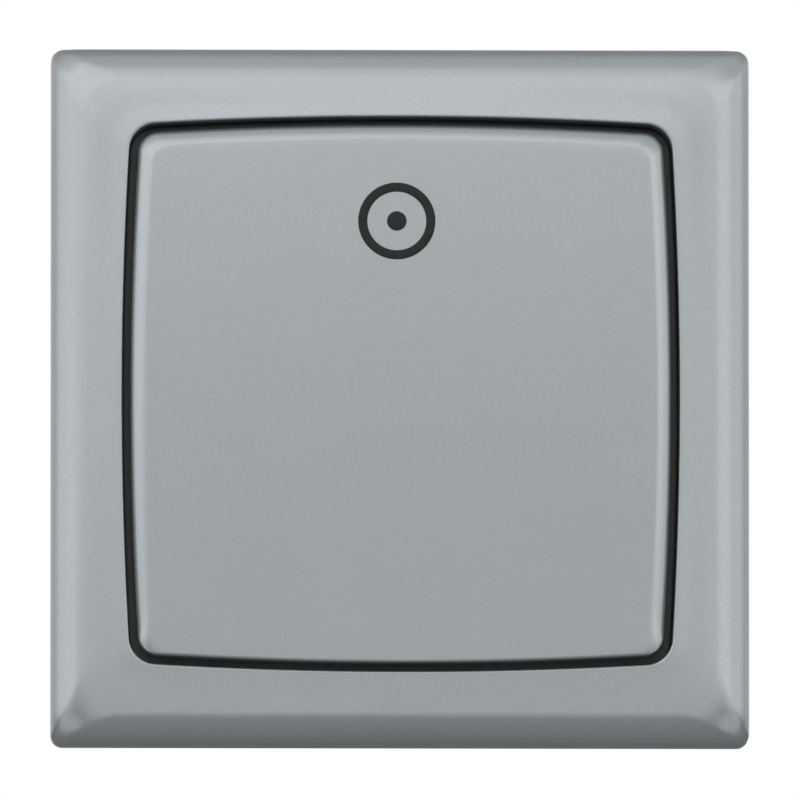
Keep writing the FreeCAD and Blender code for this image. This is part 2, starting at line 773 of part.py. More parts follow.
def make_mechanism_cover():
    cover = new_body("mechanism_cover")
    plate = new_sketch(cover, "cover_outline", "XZ_Plane", ring_front)
    draw_round_box(plate, base_half_x - cell("cover_inset_x"), base_half_z - cell("cover_inset_z"),
                   cell("cover_corner"))
    pad(cover, "cover_plate", plate, cell("cover_plate"))
    plug = new_sketch(cover, "plug_outline", "XZ_Plane", ring_front)
    slack = cell("cover_plug_clearance")
    draw_round_box(plug, window_x - slack, window_z - slack, cell("ring_window_corner") - slack)
    pad(cover, "cover_plug", plug, ring_front, reverse=True)
    front_guide = new_sketch(cover, "guide_outline", "XZ_Plane", cover_front + cell("guide_front"))
    draw_circle(front_guide, 0, plunger_z, cell("guide_radius") - cell("stem_radius") / 2)
    pad(cover, "guide_tube_front", front_guide, cell("guide_front") + cell("cover_plate"), reverse=True)
    back_guide = new_sketch(cover, "guide_back_outline", "XZ_Plane")
    draw_circle(back_guide, 0, plunger_z, cell("guide_radius"))
    pad(cover, "guide_tube_back", back_guide, cell("guide_back"), reverse=True)

    radius = cell("ear_radius")
    pivot = -cell("pivot_front")
    for hand, side in ((1, "right"), (-1, "left")):
        start = ear_inside if hand > 0 else -(ear_inside + cell("ear_wall"))
        ear = new_sketch(cover, f"ear_{side}", "YZ_Plane", start)
        foot = -cover_front
        corners = [(foot, radius), (pivot, radius), (pivot, -radius), (foot, -radius)]
        draw_path(ear, corners, {1: (pivot, 0, 1)})
        pad(cover, f"ear_pad_{side}", ear, cell("ear_wall"))
    bearing = new_sketch(cover, "bearing_holes", "YZ_Plane")
    draw_circle(bearing, pivot, 0, cell("trunnion_radius") + cell("trunnion_clearance"))
    pocket(cover, "bearing_cut", bearing, both=True)

    holes = new_sketch(cover, "cover_holes", "XZ_Plane", cover_front + cell("guide_front"))
    draw_circle(holes, 0, plunger_z, cell("stem_radius") + cell("stem_clearance"))
    for hand in (1, -1):
        for level in (1, -1):
            draw_circle(holes, hand * boss_x, level * boss_z, cell("housing_screw_hole"))
    pocket(cover, "cover_holes_cut", holes)
    doc.recompute()
    return cover


# Base housing

def make_base_housing():
    base = new_body("base_housing")
    depth = cell("base_depth")
    wall = cell("base_wall")
    outline = new_sketch(base, "base_outline", "XZ_Plane")
    draw_round_box(outline, base_half_x, base_half_z, cell("base_corner"))
    pad(base, "base_block", outline, depth, reverse=True)
    far = depth.number - 0.01
    round_edges(base, "base_back_edge",
                lambda edge: edge.BoundBox.YMin > far, cell("base_edge_bevel"), "Chamfer")

    corner = cell("base_corner") - wall
    split = terminal_top
    switch_room = new_sketch(base, "switch_room", "XZ_Plane")
    corners = [
        (-room_x, split), (room_x, split), (room_x, room_z - corner), (room_x - corner, room_z),
        (corner - room_x, room_z), (-room_x, room_z - corner),
    ]
    arcs = {2: (room_x - corner, room_z - corner, 1), 4: (corner - room_x, room_z - corner, 1)}
    draw_path(switch_room, corners, arcs)
    pocket(base, "switch_room_cut", switch_room, base_floor)
    terminal_room = new_sketch(base, "terminal_room", "XZ_Plane")
    corners = [
        (-room_x, split), (-room_x, corner - room_z), (corner - room_x, -room_z),
        (room_x - corner, -room_z), (room_x, corner - room_z), (room_x, split),
    ]
    arcs = {1: (corner - room_x, corner - room_z, 1), 3: (room_x - corner, corner - room_z, 1)}
    draw_path(terminal_room, corners, arcs)
    pocket(base, "terminal_room_cut", terminal_room, terminal_floor)

    bosses = new_sketch(base, "boss_outline", "XZ_Plane")
    for hand in (1, -1):
        for level in (1, -1):
            draw_circle(bosses, hand * boss_x, level * boss_z, cell("boss_radius"))
    pad(base, "screw_bosses", bosses, base_floor, reverse=True)
    pilots = new_sketch(base, "pilot_holes", "XZ_Plane")
    for hand in (1, -1):
        for level in (1, -1):
            draw_circle(pilots, hand * boss_x, level * boss_z,
                        cell("housing_screw_radius") - cell("housing_screw_bite"))
    pocket(base, "pilot_cut", pilots, cell("housing_screw_length"))

    # Two ledges carry the fixed contacts behind their tips, and a post carries the return spring.
    ledges = new_sketch(base, "ledges", "XZ_Plane", -strip_back)
    half_ledge = cell("ledge_height") / 2
    for hand in (1, -1):
        draw_box(ledges, hand * cell("strip_inner"), plunger_z - half_ledge,
                 hand * strip_outer, plunger_z + half_ledge)
    pad(base, "contact_ledges", ledges, base_floor - strip_back, reverse=True)
    post = new_sketch(base, "spring_post", "XZ_Plane", -post_front)
    draw_circle(post, 0, plunger_z, cell("spring_post_radius"))
    pad(base, "spring_post_pad", post, base_floor - post_front, reverse=True)
    pin = new_sketch(base, "spring_pin", "XZ_Plane", -post_front)
    draw_circle(pin, 0, plunger_z, cell("spring_post_pin"))
    pad(base, "spring_pin_pad", pin, cell("spring_post_pin_height"))
    divider = new_sketch(base, "divider", "XZ_Plane", -strip_front)
    draw_box(divider, -cell("middle_wall") / 2, -room_z, cell("middle_wall") / 2, split)
    pad(base, "divider_pad", divider, terminal_floor - strip_front, reverse=True)

    # Wire entries, and the windows of the release levers between them
    entries = new_sketch(base, "wire_entries", "XZ_Plane", -terminal_floor)
    for hand in (1, -1):
        for entry_x in (inner_entry_x, outer_entry_x):
            draw_circle(entries, hand * entry_x, wire_z, cell("wire_entry_radius"))
    pocket(base, "wire_entries_cut", entries, terminal_block)
    slack = cell("lever_clearance")
    windows = new_sketch(base, "lever_windows", "XZ_Plane", -terminal_floor)
    for hand in (1, -1):
        middle = hand * lever_x
        half_u = cell("lever_width") / 2 + slack
        half_v = cell("lever_height") / 2 + slack
        draw_box(windows, middle - half_u, lever_z - half_v, middle + half_u, lever_z + half_v)
    pocket(base, "lever_windows_cut", windows, terminal_block)

    # Two ears on each side hold a claw's pin.
    pivot_back = cell("claw_pivot_back")
    radius = cell("lug_radius")
    ear_inner = cell("claw_width") / 2 + cell("claw_side_clearance")
    root_x = base_half_x - wall / 2
    root_drop = radius * 2
    for hand, side in ((1, "right"), (-1, "left")):
        for level, end in ((1, "upper"), (-1, "lower")):
            start = ear_inner if level > 0 else -(ear_inner + cell("lug_wall"))
            ear = new_sketch(base, f"claw_ear_{end}_{side}", "XY_Plane", start)
            corners = [
                (hand * root_x, pivot_back - radius), (hand * claw_pivot_x, pivot_back - radius),
                (hand * claw_pivot_x, pivot_back + radius), (hand * root_x, pivot_back + root_drop),
            ]
            draw_path(ear, corners, {1: (hand * claw_pivot_x, pivot_back, hand)})
            pad(base, f"claw_ear_pad_{end}_{side}", ear, cell("lug_wall"))
    for hand, side in ((1, "right"), (-1, "left")):
        bore = new_sketch(base, f"claw_pin_bore_{side}", "XY_Plane")
        draw_circle(bore, hand * claw_pivot_x, pivot_back, cell("claw_pin_radius"))
        pocket(base, f"claw_pin_bore_cut_{side}", bore, both=True)
    doc.recompute()
    return base


# Plunger, contact bridge and tips

def make_plunger():
    """Turned about the stem's own axis: stem with a bevelled head, collar, and the tip that carries the bridge."""
    plunger = new_body("plunger")
    outline = new_sketch(plunger, "plunger_profile", "XY_Plane", plunger_z)
    front = cell("stem_front")
    radius = cell("stem_radius")
    edge = cell("stem_bevel")
    collar_front = cell("guide_back") + cell("collar_gap")
    tip_end = bridge_back + cell("stem_tip_length")
    corners = [
        (0, -front), (radius - edge, -front), (radius, edge - front), (radius, collar_front),
        (cell("collar_radius"), collar_front), (cell("collar_radius"), collar_back),
        (radius, collar_back), (radius, bridge_front), (cell("stem_tip_radius"), bridge_front),
        (cell("stem_tip_radius"), tip_end), (0, tip_end),
    ]
    draw_path(outline, corners)
    turned = plunger.newObject("PartDesign::Revolution", "plunger_turned")
    turned.Profile = outline
    turned.ReferenceAxis = (outline, ["V_Axis"])
    turned.Angle = 360
    outline.Visibility = False
    doc.recompute()
    return plunger


def make_contact_bridge():
    bridge = new_body("contact_bridge")
    outline = new_sketch(bridge, "bridge_outline", "XZ_Plane", -bridge_back)
    draw_round_box(outline, contact_x + cell("bridge_overhang"), cell("bridge_width") / 2,
                   cell("bridge_corner"), 0, plunger_z)
    draw_circle(outline, 0, plunger_z, cell("stem_tip_radius"))
    pad(bridge, "bridge_strip", outline, cell("bridge_thickness"))
    doc.recompute()
    return bridge


def contact_tip(name, x, seat, towards_back):
    """A round silver tip on a strip: seat is the strip's face, measured from the wall into the box."""
    tip = doc.addObject("Part::Cylinder", name)
    bind(tip, "Radius", cell("tip_radius"))
    bind(tip, "Height", cell("tip_height"))
    turn = -90 if towards_back else 90
    tip.Placement = FreeCAD.Placement(FreeCAD.Vector(), FreeCAD.Rotation(FreeCAD.Vector(1, 0, 0), turn))
    bind(tip, "Placement.Base.x", x)
    bind(tip, "Placement.Base.y", seat)
    bind(tip, "Placement.Base.z", plunger_z)
    doc.recompute()
    edges = [index for index, edge in enumerate(tip.Shape.Edges, start=1)
             if len(edge.Vertexes) == 1 and abs(edge.CenterOfMass.y - seat.number) > 0.1]
    bevelled = doc.addObject("Part::Chamfer", name + "_bevelled")
    bevelled.Base = tip
    bevelled.Edges = [(index, cell("tip_bevel").number, cell("tip_bevel").number) for index in edges]
    return bevelled


def make_tips(label, seat, towards_back):
    parts = [contact_tip(f"{label}_{side}", hand * contact_x, seat, towards_back)
             for hand, side in ((1, "right"), (-1, "left"))]
    group = doc.addObject("Part::Compound", label)
    group.Label = label
    group.Links = parts
    doc.recompute()
    return group


def make_coil(label, radius, front, back, turns):
    """A compression spring about the plunger's axis, one wire swept along a helix."""
    body = new_body(label)
    wire = cell("spring_wire")
    profile = new_sketch(body, label + "_wire", "XY_Plane", plunger_z)
    draw_wire(profile, radius, front + wire, wire)
    coil = body.newObject("PartDesign::AdditiveHelix", label + "_coil")
    coil.Profile = profile
    coil.ReferenceAxis = (profile, ["V_Axis"])
    coil.Mode = "height-turns-angle"
    bind(coil, "Height", back - front - 2 * wire)
    bind(coil, "Turns", turns)
    profile.Visibility = False
    doc.recompute()
    return body


# Fixed contacts and clamp springs

def make_fixed_contact(side, hand):
    """A brass strip from behind the tip down to the terminal, folded back as the bar that the wire lies on."""
    strip = new_body(f"fixed_contact_{side}")
    bar_bottom = bar_top - cell("strip_thickness")
    strip_top = plunger_z + cell("strip_end")
    outline = new_sketch(strip, f"fixed_contact_{side}_profile", "YZ_Plane", hand * strip_x - strip_width / 2)
    corners = [
        (strip_front, strip_top), (strip_front, bar_bottom), (terminal_floor, bar_bottom),
        (terminal_floor, bar_top), (strip_back, bar_top), (strip_back, strip_top),
    ]
    draw_path(outline, corners)
    pad(strip, f"fixed_contact_{side}_strip", outline, strip_width)
    doc.recompute()
    return strip


def make_clamp_spring(side, hand):
    """A bent strip of spring steel: a leg along the terminal's top, a round fold, and the blade that
    presses the wire on the bar."""
    spring = new_body(f"clamp_spring_{side}")
    strip = cell("clamp_strip")
    fold = cell("clamp_fold_radius")
    leg_top = clamp_top
    leg_front = fold_back - cell("clamp_leg")
    fold_z = leg_top - strip - fold
    outline = new_sketch(spring, f"clamp_spring_{side}_profile", "YZ_Plane",
                         hand * strip_x - strip_width / 2)
    outer = fold + strip
    corners = [
        (leg_front, leg_top), (leg_front, leg_top - strip), (fold_back, leg_top - strip),
        (fold_back, fold_z - fold), (blade_front, blade_tip), (blade_front, blade_tip - strip),
        (fold_back, fold_z - outer), (fold_back, leg_top),
    ]
    draw_path(outline, corners, {2: (fold_back, fold_z, -1), 6: (fold_back, fold_z, 1)})
    pad(spring, f"clamp_spring_{side}_strip", outline, strip_width)
    doc.recompute()
    return spring


# Release levers

def make_release_lever(side, hand):
    """A slider through the housing's floor. Its slanted nose lies along the clamp spring's blade, and two
    wings in front of the floor keep it from falling out."""
    lever = new_body(f"release_lever_{side}")
    start = hand * lever_x - cell("lever_width") / 2
    top = lever_z + cell("lever_height") / 2
    bottom = lever_z - cell("lever_height") / 2
    end = cell("base_depth") + cell("lever_proud")
    lean = (fold_back - blade_front) / (fold_low - blade_tip + cell("clamp_strip"))
    gap = cell("lever_gap")
    outline = new_sketch(lever, f"release_lever_{side}_profile", "YZ_Plane", start)
    corners = [
        (end, top), (end, bottom), (fold_back + gap + (bottom - fold_low) * lean, bottom),
        (fold_back + gap, fold_low - gap), (terminal_floor, fold_low - gap), (terminal_floor, top),
    ]
    draw_path(outline, corners)
    pad(lever, f"release_lever_{side}_stem", outline, cell("lever_width"))
    wings = new_sketch(lever, f"release_lever_{side}_wings", "XZ_Plane", -terminal_floor)
    half = cell("lever_width") / 2 + cell("lever_wing")
    middle = hand * lever_x
    draw_box(wings, middle - half, bottom, middle + half, fold_low - gap)
    pad(lever, f"release_lever_{side}_wing_pad", wings, cell("lever_wing_thickness"))
    doc.recompute()
    return lever


# Claws

def make_claw(side, hand):
    """A stamped claw, seen along its pin: a forked arm with a curled nose that the nut pulls forward, and a
    long arm towards the room with a tooth that swings out into the wall box."""
    claw = new_body(f"claw_{side}")
    pivot_x = claw_pivot_x
    pivot_y = cell("claw_pivot_back")
    half = cell("claw_sheet") / 2
    reach = cell("claw_reach")
    tooth = cell("claw_tooth")
    arm = cell("claw_arm")
    eye = cell("claw_eye_radius")
    nose = cell("claw_nose_radius")
    start = -cell("claw_width") / 2

    def place(out, back):
        return (hand * (pivot_x + out), pivot_y + back)

    arms = new_sketch(claw, f"claw_{side}_arms", "XY_Plane", start)
    corners = [
        place(-arm, half), place(-arm, -half), place(-half, -half), place(-half, -reach),
        place(half + tooth, -reach), place(half + tooth / 2, half - reach), place(half + tooth, 2 * half - reach),
        place(half, 3 * half - reach), place(half, half),
    ]
    draw_path(arms, corners)
    pad(claw, f"claw_{side}_sheet", arms, cell("claw_width"))
    eye_sketch = new_sketch(claw, f"claw_{side}_eye", "XY_Plane", start)
    draw_circle(eye_sketch, hand * pivot_x, pivot_y, eye)
    pad(claw, f"claw_{side}_eye_pad", eye_sketch, cell("claw_width"))
    nose_sketch = new_sketch(claw, f"claw_{side}_nose", "XY_Plane", start)
    draw_circle(nose_sketch, hand * (pivot_x - arm), pivot_y + cell("claw_nose_back"), nose)
    pad(claw, f"claw_{side}_nose_pad", nose_sketch, cell("claw_width"))
    bore = new_sketch(claw, f"claw_{side}_bore", "XY_Plane")
    draw_circle(bore, hand * pivot_x, pivot_y, cell("claw_pin_radius") + cell("claw_pin_clearance"))
    pocket(claw, f"claw_{side}_bore_cut", bore, both=True)
    fork = new_sketch(claw, f"claw_{side}_fork", "XZ_Plane", -(pivot_y - eye))
    gap = cell("claw_screw_radius") + cell("claw_screw_clearance")
    draw_box(fork, hand * (pivot_x - arm - 2 * nose), -gap, hand * (pivot_x - eye - half / 2), gap)
    pocket(claw, f"claw_{side}_fork_cut", fork, eye * 2)
    doc.recompute()
    return claw


def make_claw_pin(side, hand):
    pin = doc.addObject("Part::Cylinder", f"claw_pin_{side}")
    pin.Label = f"claw_pin_{side}"
    length = cell("claw_width") + 2 * cell("claw_side_clearance") + 2 * cell("lug_wall")
    bind(pin, "Radius", cell("claw_pin_radius"))
    bind(pin, "Height", length)
    bind(pin, "Placement.Base.x", hand * claw_pivot_x)
    bind(pin, "Placement.Base.y", cell("claw_pivot_back"))
    bind(pin, "Placement.Base.z", -length / 2)
    doc.recompute()
    return pin


def make_screw(label, radius, length, head_radius, head_height, cross):
    """A pan head screw on the Y axis: the head stands on the plane y = 0 towards the room."""
    screw = new_body(label)
    outline = new_sketch(screw, label + "_profile", "XY_Plane")
    crown = head_height * cell("crown_share")
    corners = [
        (0, -head_height), (head_radius - crown, -head_height), (head_radius, crown - head_height),
        (head_radius, 0), (radius, 0), (radius, length), (0, length),
    ]
    draw_path(outline, corners)
    turned = screw.newObject("PartDesign::Revolution", label + "_turned")
    turned.Profile = outline
    turned.ReferenceAxis = (outline, ["V_Axis"])
    turned.Angle = 360
    outline.Visibility = False
    recess = new_sketch(screw, label + "_recess", "XZ_Plane", head_height)
    half_long = head_radius * cell("recess_length_share")
    half_wide = head_radius * cell("recess_width_share")
    corners = [
        (half_wide, half_wide), (half_wide, half_long), (-half_wide, half_long), (-half_wide, half_wide),
        (-half_long, half_wide), (-half_long, -half_wide), (-half_wide, -half_wide),
        (-half_wide, -half_long), (half_wide, -half_long), (half_wide, -half_wide),
        (half_long, -half_wide), (half_long, half_wide),
    ]
    if not cross:
        corners = [(-head_radius, -half_wide), (head_radius, -half_wide), (head_radius, half_wide),
                   (-head_radius, half_wide)]
    draw_path(recess, corners)
    pocket(screw, label + "_recess_cut", recess, head_height * cell("recess_depth_share"))
    return screw


def make_claw_screw(side, hand):
    screw = make_screw(f"claw_screw_{side}", cell("claw_screw_radius"), cell("claw_screw_length") + ring_front,
                       cell("claw_screw_head_radius"), cell("claw_screw_head_height"), False)
    bind(screw, "Placement.Base.x", hand * claw_screw_x)
    bind(screw, "Placement.Base.y", -ring_front)
    doc.recompute()
    return screw


def make_housing_screws():
    parts = []
    for hand, side in ((1, "right"), (-1, "left")):
        for level, end in ((1, "upper"), (-1, "lower")):
            screw = make_screw(f"housing_screw_{end}_{side}",
                               cell("housing_screw_radius") - cell("housing_screw_bite"),
                               cell("housing_screw_length"),
                               cell("housing_screw_head_radius"), cell("housing_screw_head_height"), True)
            bind(screw, "Placement.Base.x", hand * boss_x)
            bind(screw, "Placement.Base.y", -cover_front)
            bind(screw, "Placement.Base.z", level * boss_z)
            parts.append(screw)
    group = doc.addObject("Part::Compound", "housing_screws")
    group.Label = "housing_screws"
    group.Links = parts
    doc.recompute()
    return group


def make_claw_nut(side, hand):
    nut = new_body(f"claw_nut_{side}")
    front = cell("claw_pivot_back") + cell("claw_nose_back") + cell("claw_nose_radius") + cell("nut_clearance")
    half = cell("nut_side") / 2
    outline = new_sketch(nut, f"claw_nut_{side}_outline", "XZ_Plane", -front)
    middle = hand * claw_screw_x
    draw_box(outline, middle - half, -half, middle + half, half)
    draw_circle(outline, middle, 0, cell("claw_screw_radius") + cell("nut_clearance"))
    pad(nut, f"claw_nut_{side}_block", outline, cell("nut_height"), reverse=True)
    doc.recompute()
    return nut


parts = [
    make_cover_frame(),
    make_rocker_cover(),
    make_rocker_carrier(),
    make_support_ring(),
    make_mechanism_cover(),
    make_base_housing(),
    make_housing_screws(),
    make_plunger(),
    make_coil("contact_spring", cell("contact_spring_radius"), collar_back + cell("spring_end_gap"),
              bridge_front - cell("spring_end_gap"), cell("contact_spring_turns")),
    make_coil("return_spring", cell("return_spring_radius"), bridge_back + cell("spring_end_gap"),
              post_front - cell("spring_end_gap"), cell("return_spring_turns")),
    make_contact_bridge(),
    make_tips("moving_contact_tips", bridge_back, True),
    make_tips("fixed_contact_tips", strip_front, False),
]
for side, hand in (("left", -1), ("right", 1)):
    parts += [
        make_fixed_contact(side, hand),
        make_clamp_spring(side, hand),
        make_release_lever(side, hand),
        make_claw(side, hand),
        make_claw_pin(side, hand),
        make_claw_screw(side, hand),
        make_claw_nut(side, hand),
    ]
doc.recompute()

for thing in doc.Objects:
    if "Invalid" in thing.State or "Error" in thing.State:
        raise RuntimeError(f"{thing.Label} failed: {thing.State}")
os.makedirs("parts", exist_ok=True)
for piece in parts:
    shape = piece.Shape
    if shape.isNull() or not shape.isValid() or not shape.Solids:
        raise RuntimeError(f"{piece.Label} has no sound solid")
for piece in parts:
    piece.Shape.exportStep(os.path.join("parts", piece.Label + ".step"))
    print(piece.Label, len(piece.Shape.Solids), round(piece.Shape.Volume, 2))
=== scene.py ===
import json
import math
import bmesh
import bpy
import numpy as np
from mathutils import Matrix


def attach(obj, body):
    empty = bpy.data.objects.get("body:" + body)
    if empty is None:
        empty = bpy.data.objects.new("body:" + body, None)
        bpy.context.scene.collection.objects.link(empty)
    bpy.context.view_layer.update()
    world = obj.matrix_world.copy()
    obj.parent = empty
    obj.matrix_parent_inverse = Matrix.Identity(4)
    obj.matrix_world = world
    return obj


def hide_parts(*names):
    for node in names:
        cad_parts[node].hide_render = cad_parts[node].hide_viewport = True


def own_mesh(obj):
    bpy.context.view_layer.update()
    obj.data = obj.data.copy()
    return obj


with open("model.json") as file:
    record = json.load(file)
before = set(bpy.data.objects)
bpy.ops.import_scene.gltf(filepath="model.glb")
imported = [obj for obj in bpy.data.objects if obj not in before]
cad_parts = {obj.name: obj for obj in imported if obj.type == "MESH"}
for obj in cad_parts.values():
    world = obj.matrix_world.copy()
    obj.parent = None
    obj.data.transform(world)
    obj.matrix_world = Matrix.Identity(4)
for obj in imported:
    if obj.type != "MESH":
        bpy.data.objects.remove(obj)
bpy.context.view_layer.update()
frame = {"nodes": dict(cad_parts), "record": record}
mm = 0.001
tiny = 1e-9  # keeps a division from meeting zero

# Turned about the middle: azimuth 0 is in front and grows to the right, and elevation grows upwards
def placeAround(view):
    across, up = math.radians(view["azimuth"]), math.radians(view["elevation"])
    place = (
        view["distance"] * math.sin(across) * math.cos(up),
        -view["distance"] * math.cos(across) * math.cos(up),
        view["distance"] * math.sin(up),
    )
    return place, (math.pi / 2 - up, 0, across)


# Camera: the photograph is nearly square on through a long lens, from slightly left and below
cameraView = {
    "distance": 4.0, "lens": 1551.6, "clipEnd": 50, "azimuth": -1.2, "elevation": -5.4,
    "aim": (0.0, -0.0047, -0.0003),
}


def addCamera(view):
    data = bpy.data.cameras.new("photoCamera")
    data.lens = view["lens"]
    data.clip_end = view["clipEnd"]
    camera = bpy.data.objects.new("photoCamera", data)
    bpy.context.scene.collection.objects.link(camera)
    place, camera.rotation_euler = placeAround(view)
    camera.location = [start + step for start, step in zip(view["aim"], place)]
    bpy.context.scene.camera = camera


addCamera(cameraView)
print("camera set")

# Node helpers

def newGroup(name, numbers, colors, outputs):
    group = bpy.data.node_groups.new(name, "ShaderNodeTree")
    for label, value in colors.items():
        socket = group.interface.new_socket(label, in_out="INPUT", socket_type="NodeSocketColor")
        socket.default_value = value
    for label, value in numbers.items():
        socket = group.interface.new_socket(label, in_out="INPUT", socket_type="NodeSocketFloat")
        socket.default_value = value
    for label, kind in outputs.items():
        group.interface.new_socket(label, in_out="OUTPUT", socket_type=kind)
    start = group.nodes.new("NodeGroupInput")
    end = group.nodes.new("NodeGroupOutput")
    return group, start, end


def objectPlace(tree):
    place = tree.nodes.new("ShaderNodeTexCoord")
    return place.outputs["Object"]


def noiseNode(tree, vector, scale, detail=2.0):
    noise = tree.nodes.new("ShaderNodeTexNoise")
    noise.inputs["Detail"].default_value = detail
    tree.links.new(vector, noise.inputs["Vector"])
    if isinstance(scale, (int, float)):
        noise.inputs["Scale"].default_value = scale
    else:
        tree.links.new(scale, noise.inputs["Scale"])
    return noise.outputs["Fac"]


def mathNode(tree, operation, *values):
    node = tree.nodes.new("ShaderNodeMath")
    node.operation = operation
    for index, value in enumerate(values):
        if isinstance(value, (int, float)):
            node.inputs[index].default_value = value
        else:
            tree.links.new(value, node.inputs[index])
    return node.outputs[0]


# value = base x (1 + amount x (noise - half)), for a colour
def shadedColor(tree, color, noise, amount):
    swing = mathNode(tree, "SUBTRACT", noise, 0.5)
    factor = mathNode(tree, "MULTIPLY_ADD", swing, amount, 1.0)
    scale = tree.nodes.new("ShaderNodeVectorMath")
    scale.operation = "SCALE"
    tree.links.new(color, scale.inputs[0])
    tree.links.new(factor, scale.inputs["Scale"])
    return scale.outputs["Vector"]


# A share that rises from 0 to 1 while the value goes from low to high
def smoothRange(tree, value, low, high):
    node = tree.nodes.new("ShaderNodeMapRange")
    node.interpolation_type = "SMOOTHSTEP"
    node.inputs["From Min"].default_value = low
    node.inputs["From Max"].default_value = high
    tree.links.new(value, node.inputs["Value"])
    return node.outputs["Result"]


# Studio: soft boxes to the sides and above, near panels in front, a grey floor and a white room
studio = {
    "boxes": {
        "leftBox": {"azimuth": -56, "elevation": 20, "distance": 0.80, "size": (0.66, 0.66), "glow": 1.0},
        "leftWide": {"azimuth": -95, "elevation": 8, "distance": 0.90, "size": (0.50, 0.50), "glow": 0.78},
        "leftLow": {"azimuth": -62, "elevation": -26, "distance": 0.58, "size": (0.50, 0.42), "glow": 0.75},
        "rightBox": {"azimuth": 40, "elevation": 10, "distance": 0.85, "size": (0.70, 0.46), "glow": 1.12},
        "rightWide": {"azimuth": 87, "elevation": 8, "distance": 0.90, "size": (0.66, 0.46), "glow": 0.68},
        "rightLow": {"azimuth": 60, "elevation": -26, "distance": 0.58, "size": (0.50, 0.42), "glow": 0.75},
        "topBox": {"azimuth": -14, "elevation": 38, "distance": 0.85, "size": (0.56, 0.56), "glow": 0.75},
        "upperPanel": {"azimuth": 0, "elevation": 22, "distance": 0.32, "size": (0.30, 0.075), "glow": 0.86},
        "leftPanel": {"azimuth": -25, "elevation": 11, "distance": 0.34, "size": (0.11, 0.10), "glow": 1.1},
        "lowerPanel": {"azimuth": 0, "elevation": -21.5, "distance": 0.31, "size": (0.24, 0.11), "glow": 1.0},
    },
    "floorHeight": -0.45,
    "floorReach": 12.0,
    "floorColor": (0.50, 0.50, 0.50, 1),
    "floorRoughness": 0.9,
    "floorShine": 0.1,
    "roomColor": (1.0, 1.0, 1.0, 1),
    "roomLight": 0.06,
    "roomLightBehind": 0.65,
    "behindRange": (0.05, 0.60),
    "highBehindRange": (0.10, 0.45),
    "backDim": 0.2,
    "highBackDim": 0.4,
}


def addSoftBox(name, box):
    data = bpy.data.lights.new(name, "AREA")
    data.shape = "RECTANGLE"
    data.size, data.size_y = box["size"]
    data.energy = box["glow"] * math.pi * box["size"][0] * box["size"][1]
    lamp = bpy.data.objects.new(name, data)
    lamp.visible_camera = False
    bpy.context.scene.collection.objects.link(lamp)
    lamp.location, lamp.rotation_euler = placeAround(box)


# In reflections the room is dimmer behind the object, most of all high up. Its light on matt surfaces is
# stronger behind.
def addRoom(values):
    world = bpy.data.worlds.new("room")
    bpy.context.scene.world = world
    world.use_nodes = True
    tree = world.node_tree
    tree.nodes.clear()
    place = tree.nodes.new("ShaderNodeTexCoord")
    parts = tree.nodes.new("ShaderNodeSeparateXYZ")
    tree.links.new(place.outputs["Generated"], parts.inputs[0])
    path = tree.nodes.new("ShaderNodeLightPath")
    behind = smoothRange(tree, parts.outputs["Y"], *values["behindRange"])
    highBehind = mathNode(tree, "MULTIPLY", parts.outputs["Y"], parts.outputs["Z"])
    high = smoothRange(tree, highBehind, *values["highBehindRange"])
    low = mathNode(tree, "MULTIPLY", behind, values["backDim"])
    dim = mathNode(tree, "MULTIPLY_ADD", high, values["highBackDim"], low)
    dimSeen = mathNode(tree, "MULTIPLY", dim, path.outputs["Is Glossy Ray"])
    seen = tree.nodes.new("ShaderNodeBackground")
    lit = tree.nodes.new("ShaderNodeBackground")
    for background in (seen, lit):
        background.inputs["Color"].default_value = values["roomColor"]
    tree.links.new(mathNode(tree, "SUBTRACT", 1.0, dimSeen), seen.inputs["Strength"])
    extra = values["roomLightBehind"] - values["roomLight"]
    tree.links.new(mathNode(tree, "MULTIPLY_ADD", behind, extra, values["roomLight"]), lit.inputs["Strength"])
    direct = mathNode(tree, "MAXIMUM", path.outputs["Is Camera Ray"], path.outputs["Is Glossy Ray"])
    direct = mathNode(tree, "MAXIMUM", direct, path.outputs["Is Transmission Ray"])
    mix = tree.nodes.new("ShaderNodeMixShader")
    out = tree.nodes.new("ShaderNodeOutputWorld")
    tree.links.new(direct, mix.inputs[0])
    tree.links.new(lit.outputs[0], mix.inputs[1])
    tree.links.new(seen.outputs[0], mix.inputs[2])
    tree.links.new(mix.outputs[0], out.inputs["Surface"])


def addFloor(values):
    mesh = bpy.data.meshes.new("floor")
    reach, height = values["floorReach"], values["floorHeight"]
    corners = [(x * reach, y * reach, height) for x, y in ((-1, -1), (1, -1), (1, 1), (-1, 1))]
    mesh.from_pydata(corners, [], [(0, 1, 2, 3)])
    floor = bpy.data.objects.new("floor", mesh)
    bpy.context.scene.collection.objects.link(floor)
    material = bpy.data.materials.new("floorPaint")
    material.use_nodes = True
    shader = material.node_tree.nodes["Principled BSDF"]
    shader.inputs["Base Color"].default_value = values["floorColor"]
    shader.inputs["Roughness"].default_value = values["floorRoughness"]
    shader.inputs["Specular IOR Level"].default_value = values["floorShine"]

    # Seen from below, the floor lets the view through
    tree = material.node_tree
    side = tree.nodes.new("ShaderNodeNewGeometry")
    clear = tree.nodes.new("ShaderNodeBsdfTransparent")
    mix = tree.nodes.new("ShaderNodeMixShader")
    tree.links.new(side.outputs["Backfacing"], mix.inputs[0])
    tree.links.new(shader.outputs[0], mix.inputs[1])
    tree.links.new(clear.outputs[0], mix.inputs[2])
    tree.links.new(mix.outputs[0], tree.nodes["Material Output"].inputs["Surface"])
    mesh.materials.append(material)


for name, box in studio["boxes"].items():
    addSoftBox(name, box)
addRoom(studio)
addFloor(studio)
bpy.context.scene.view_settings.view_transform = "Standard"
print("studio lit")


# Node groups that several finishes share

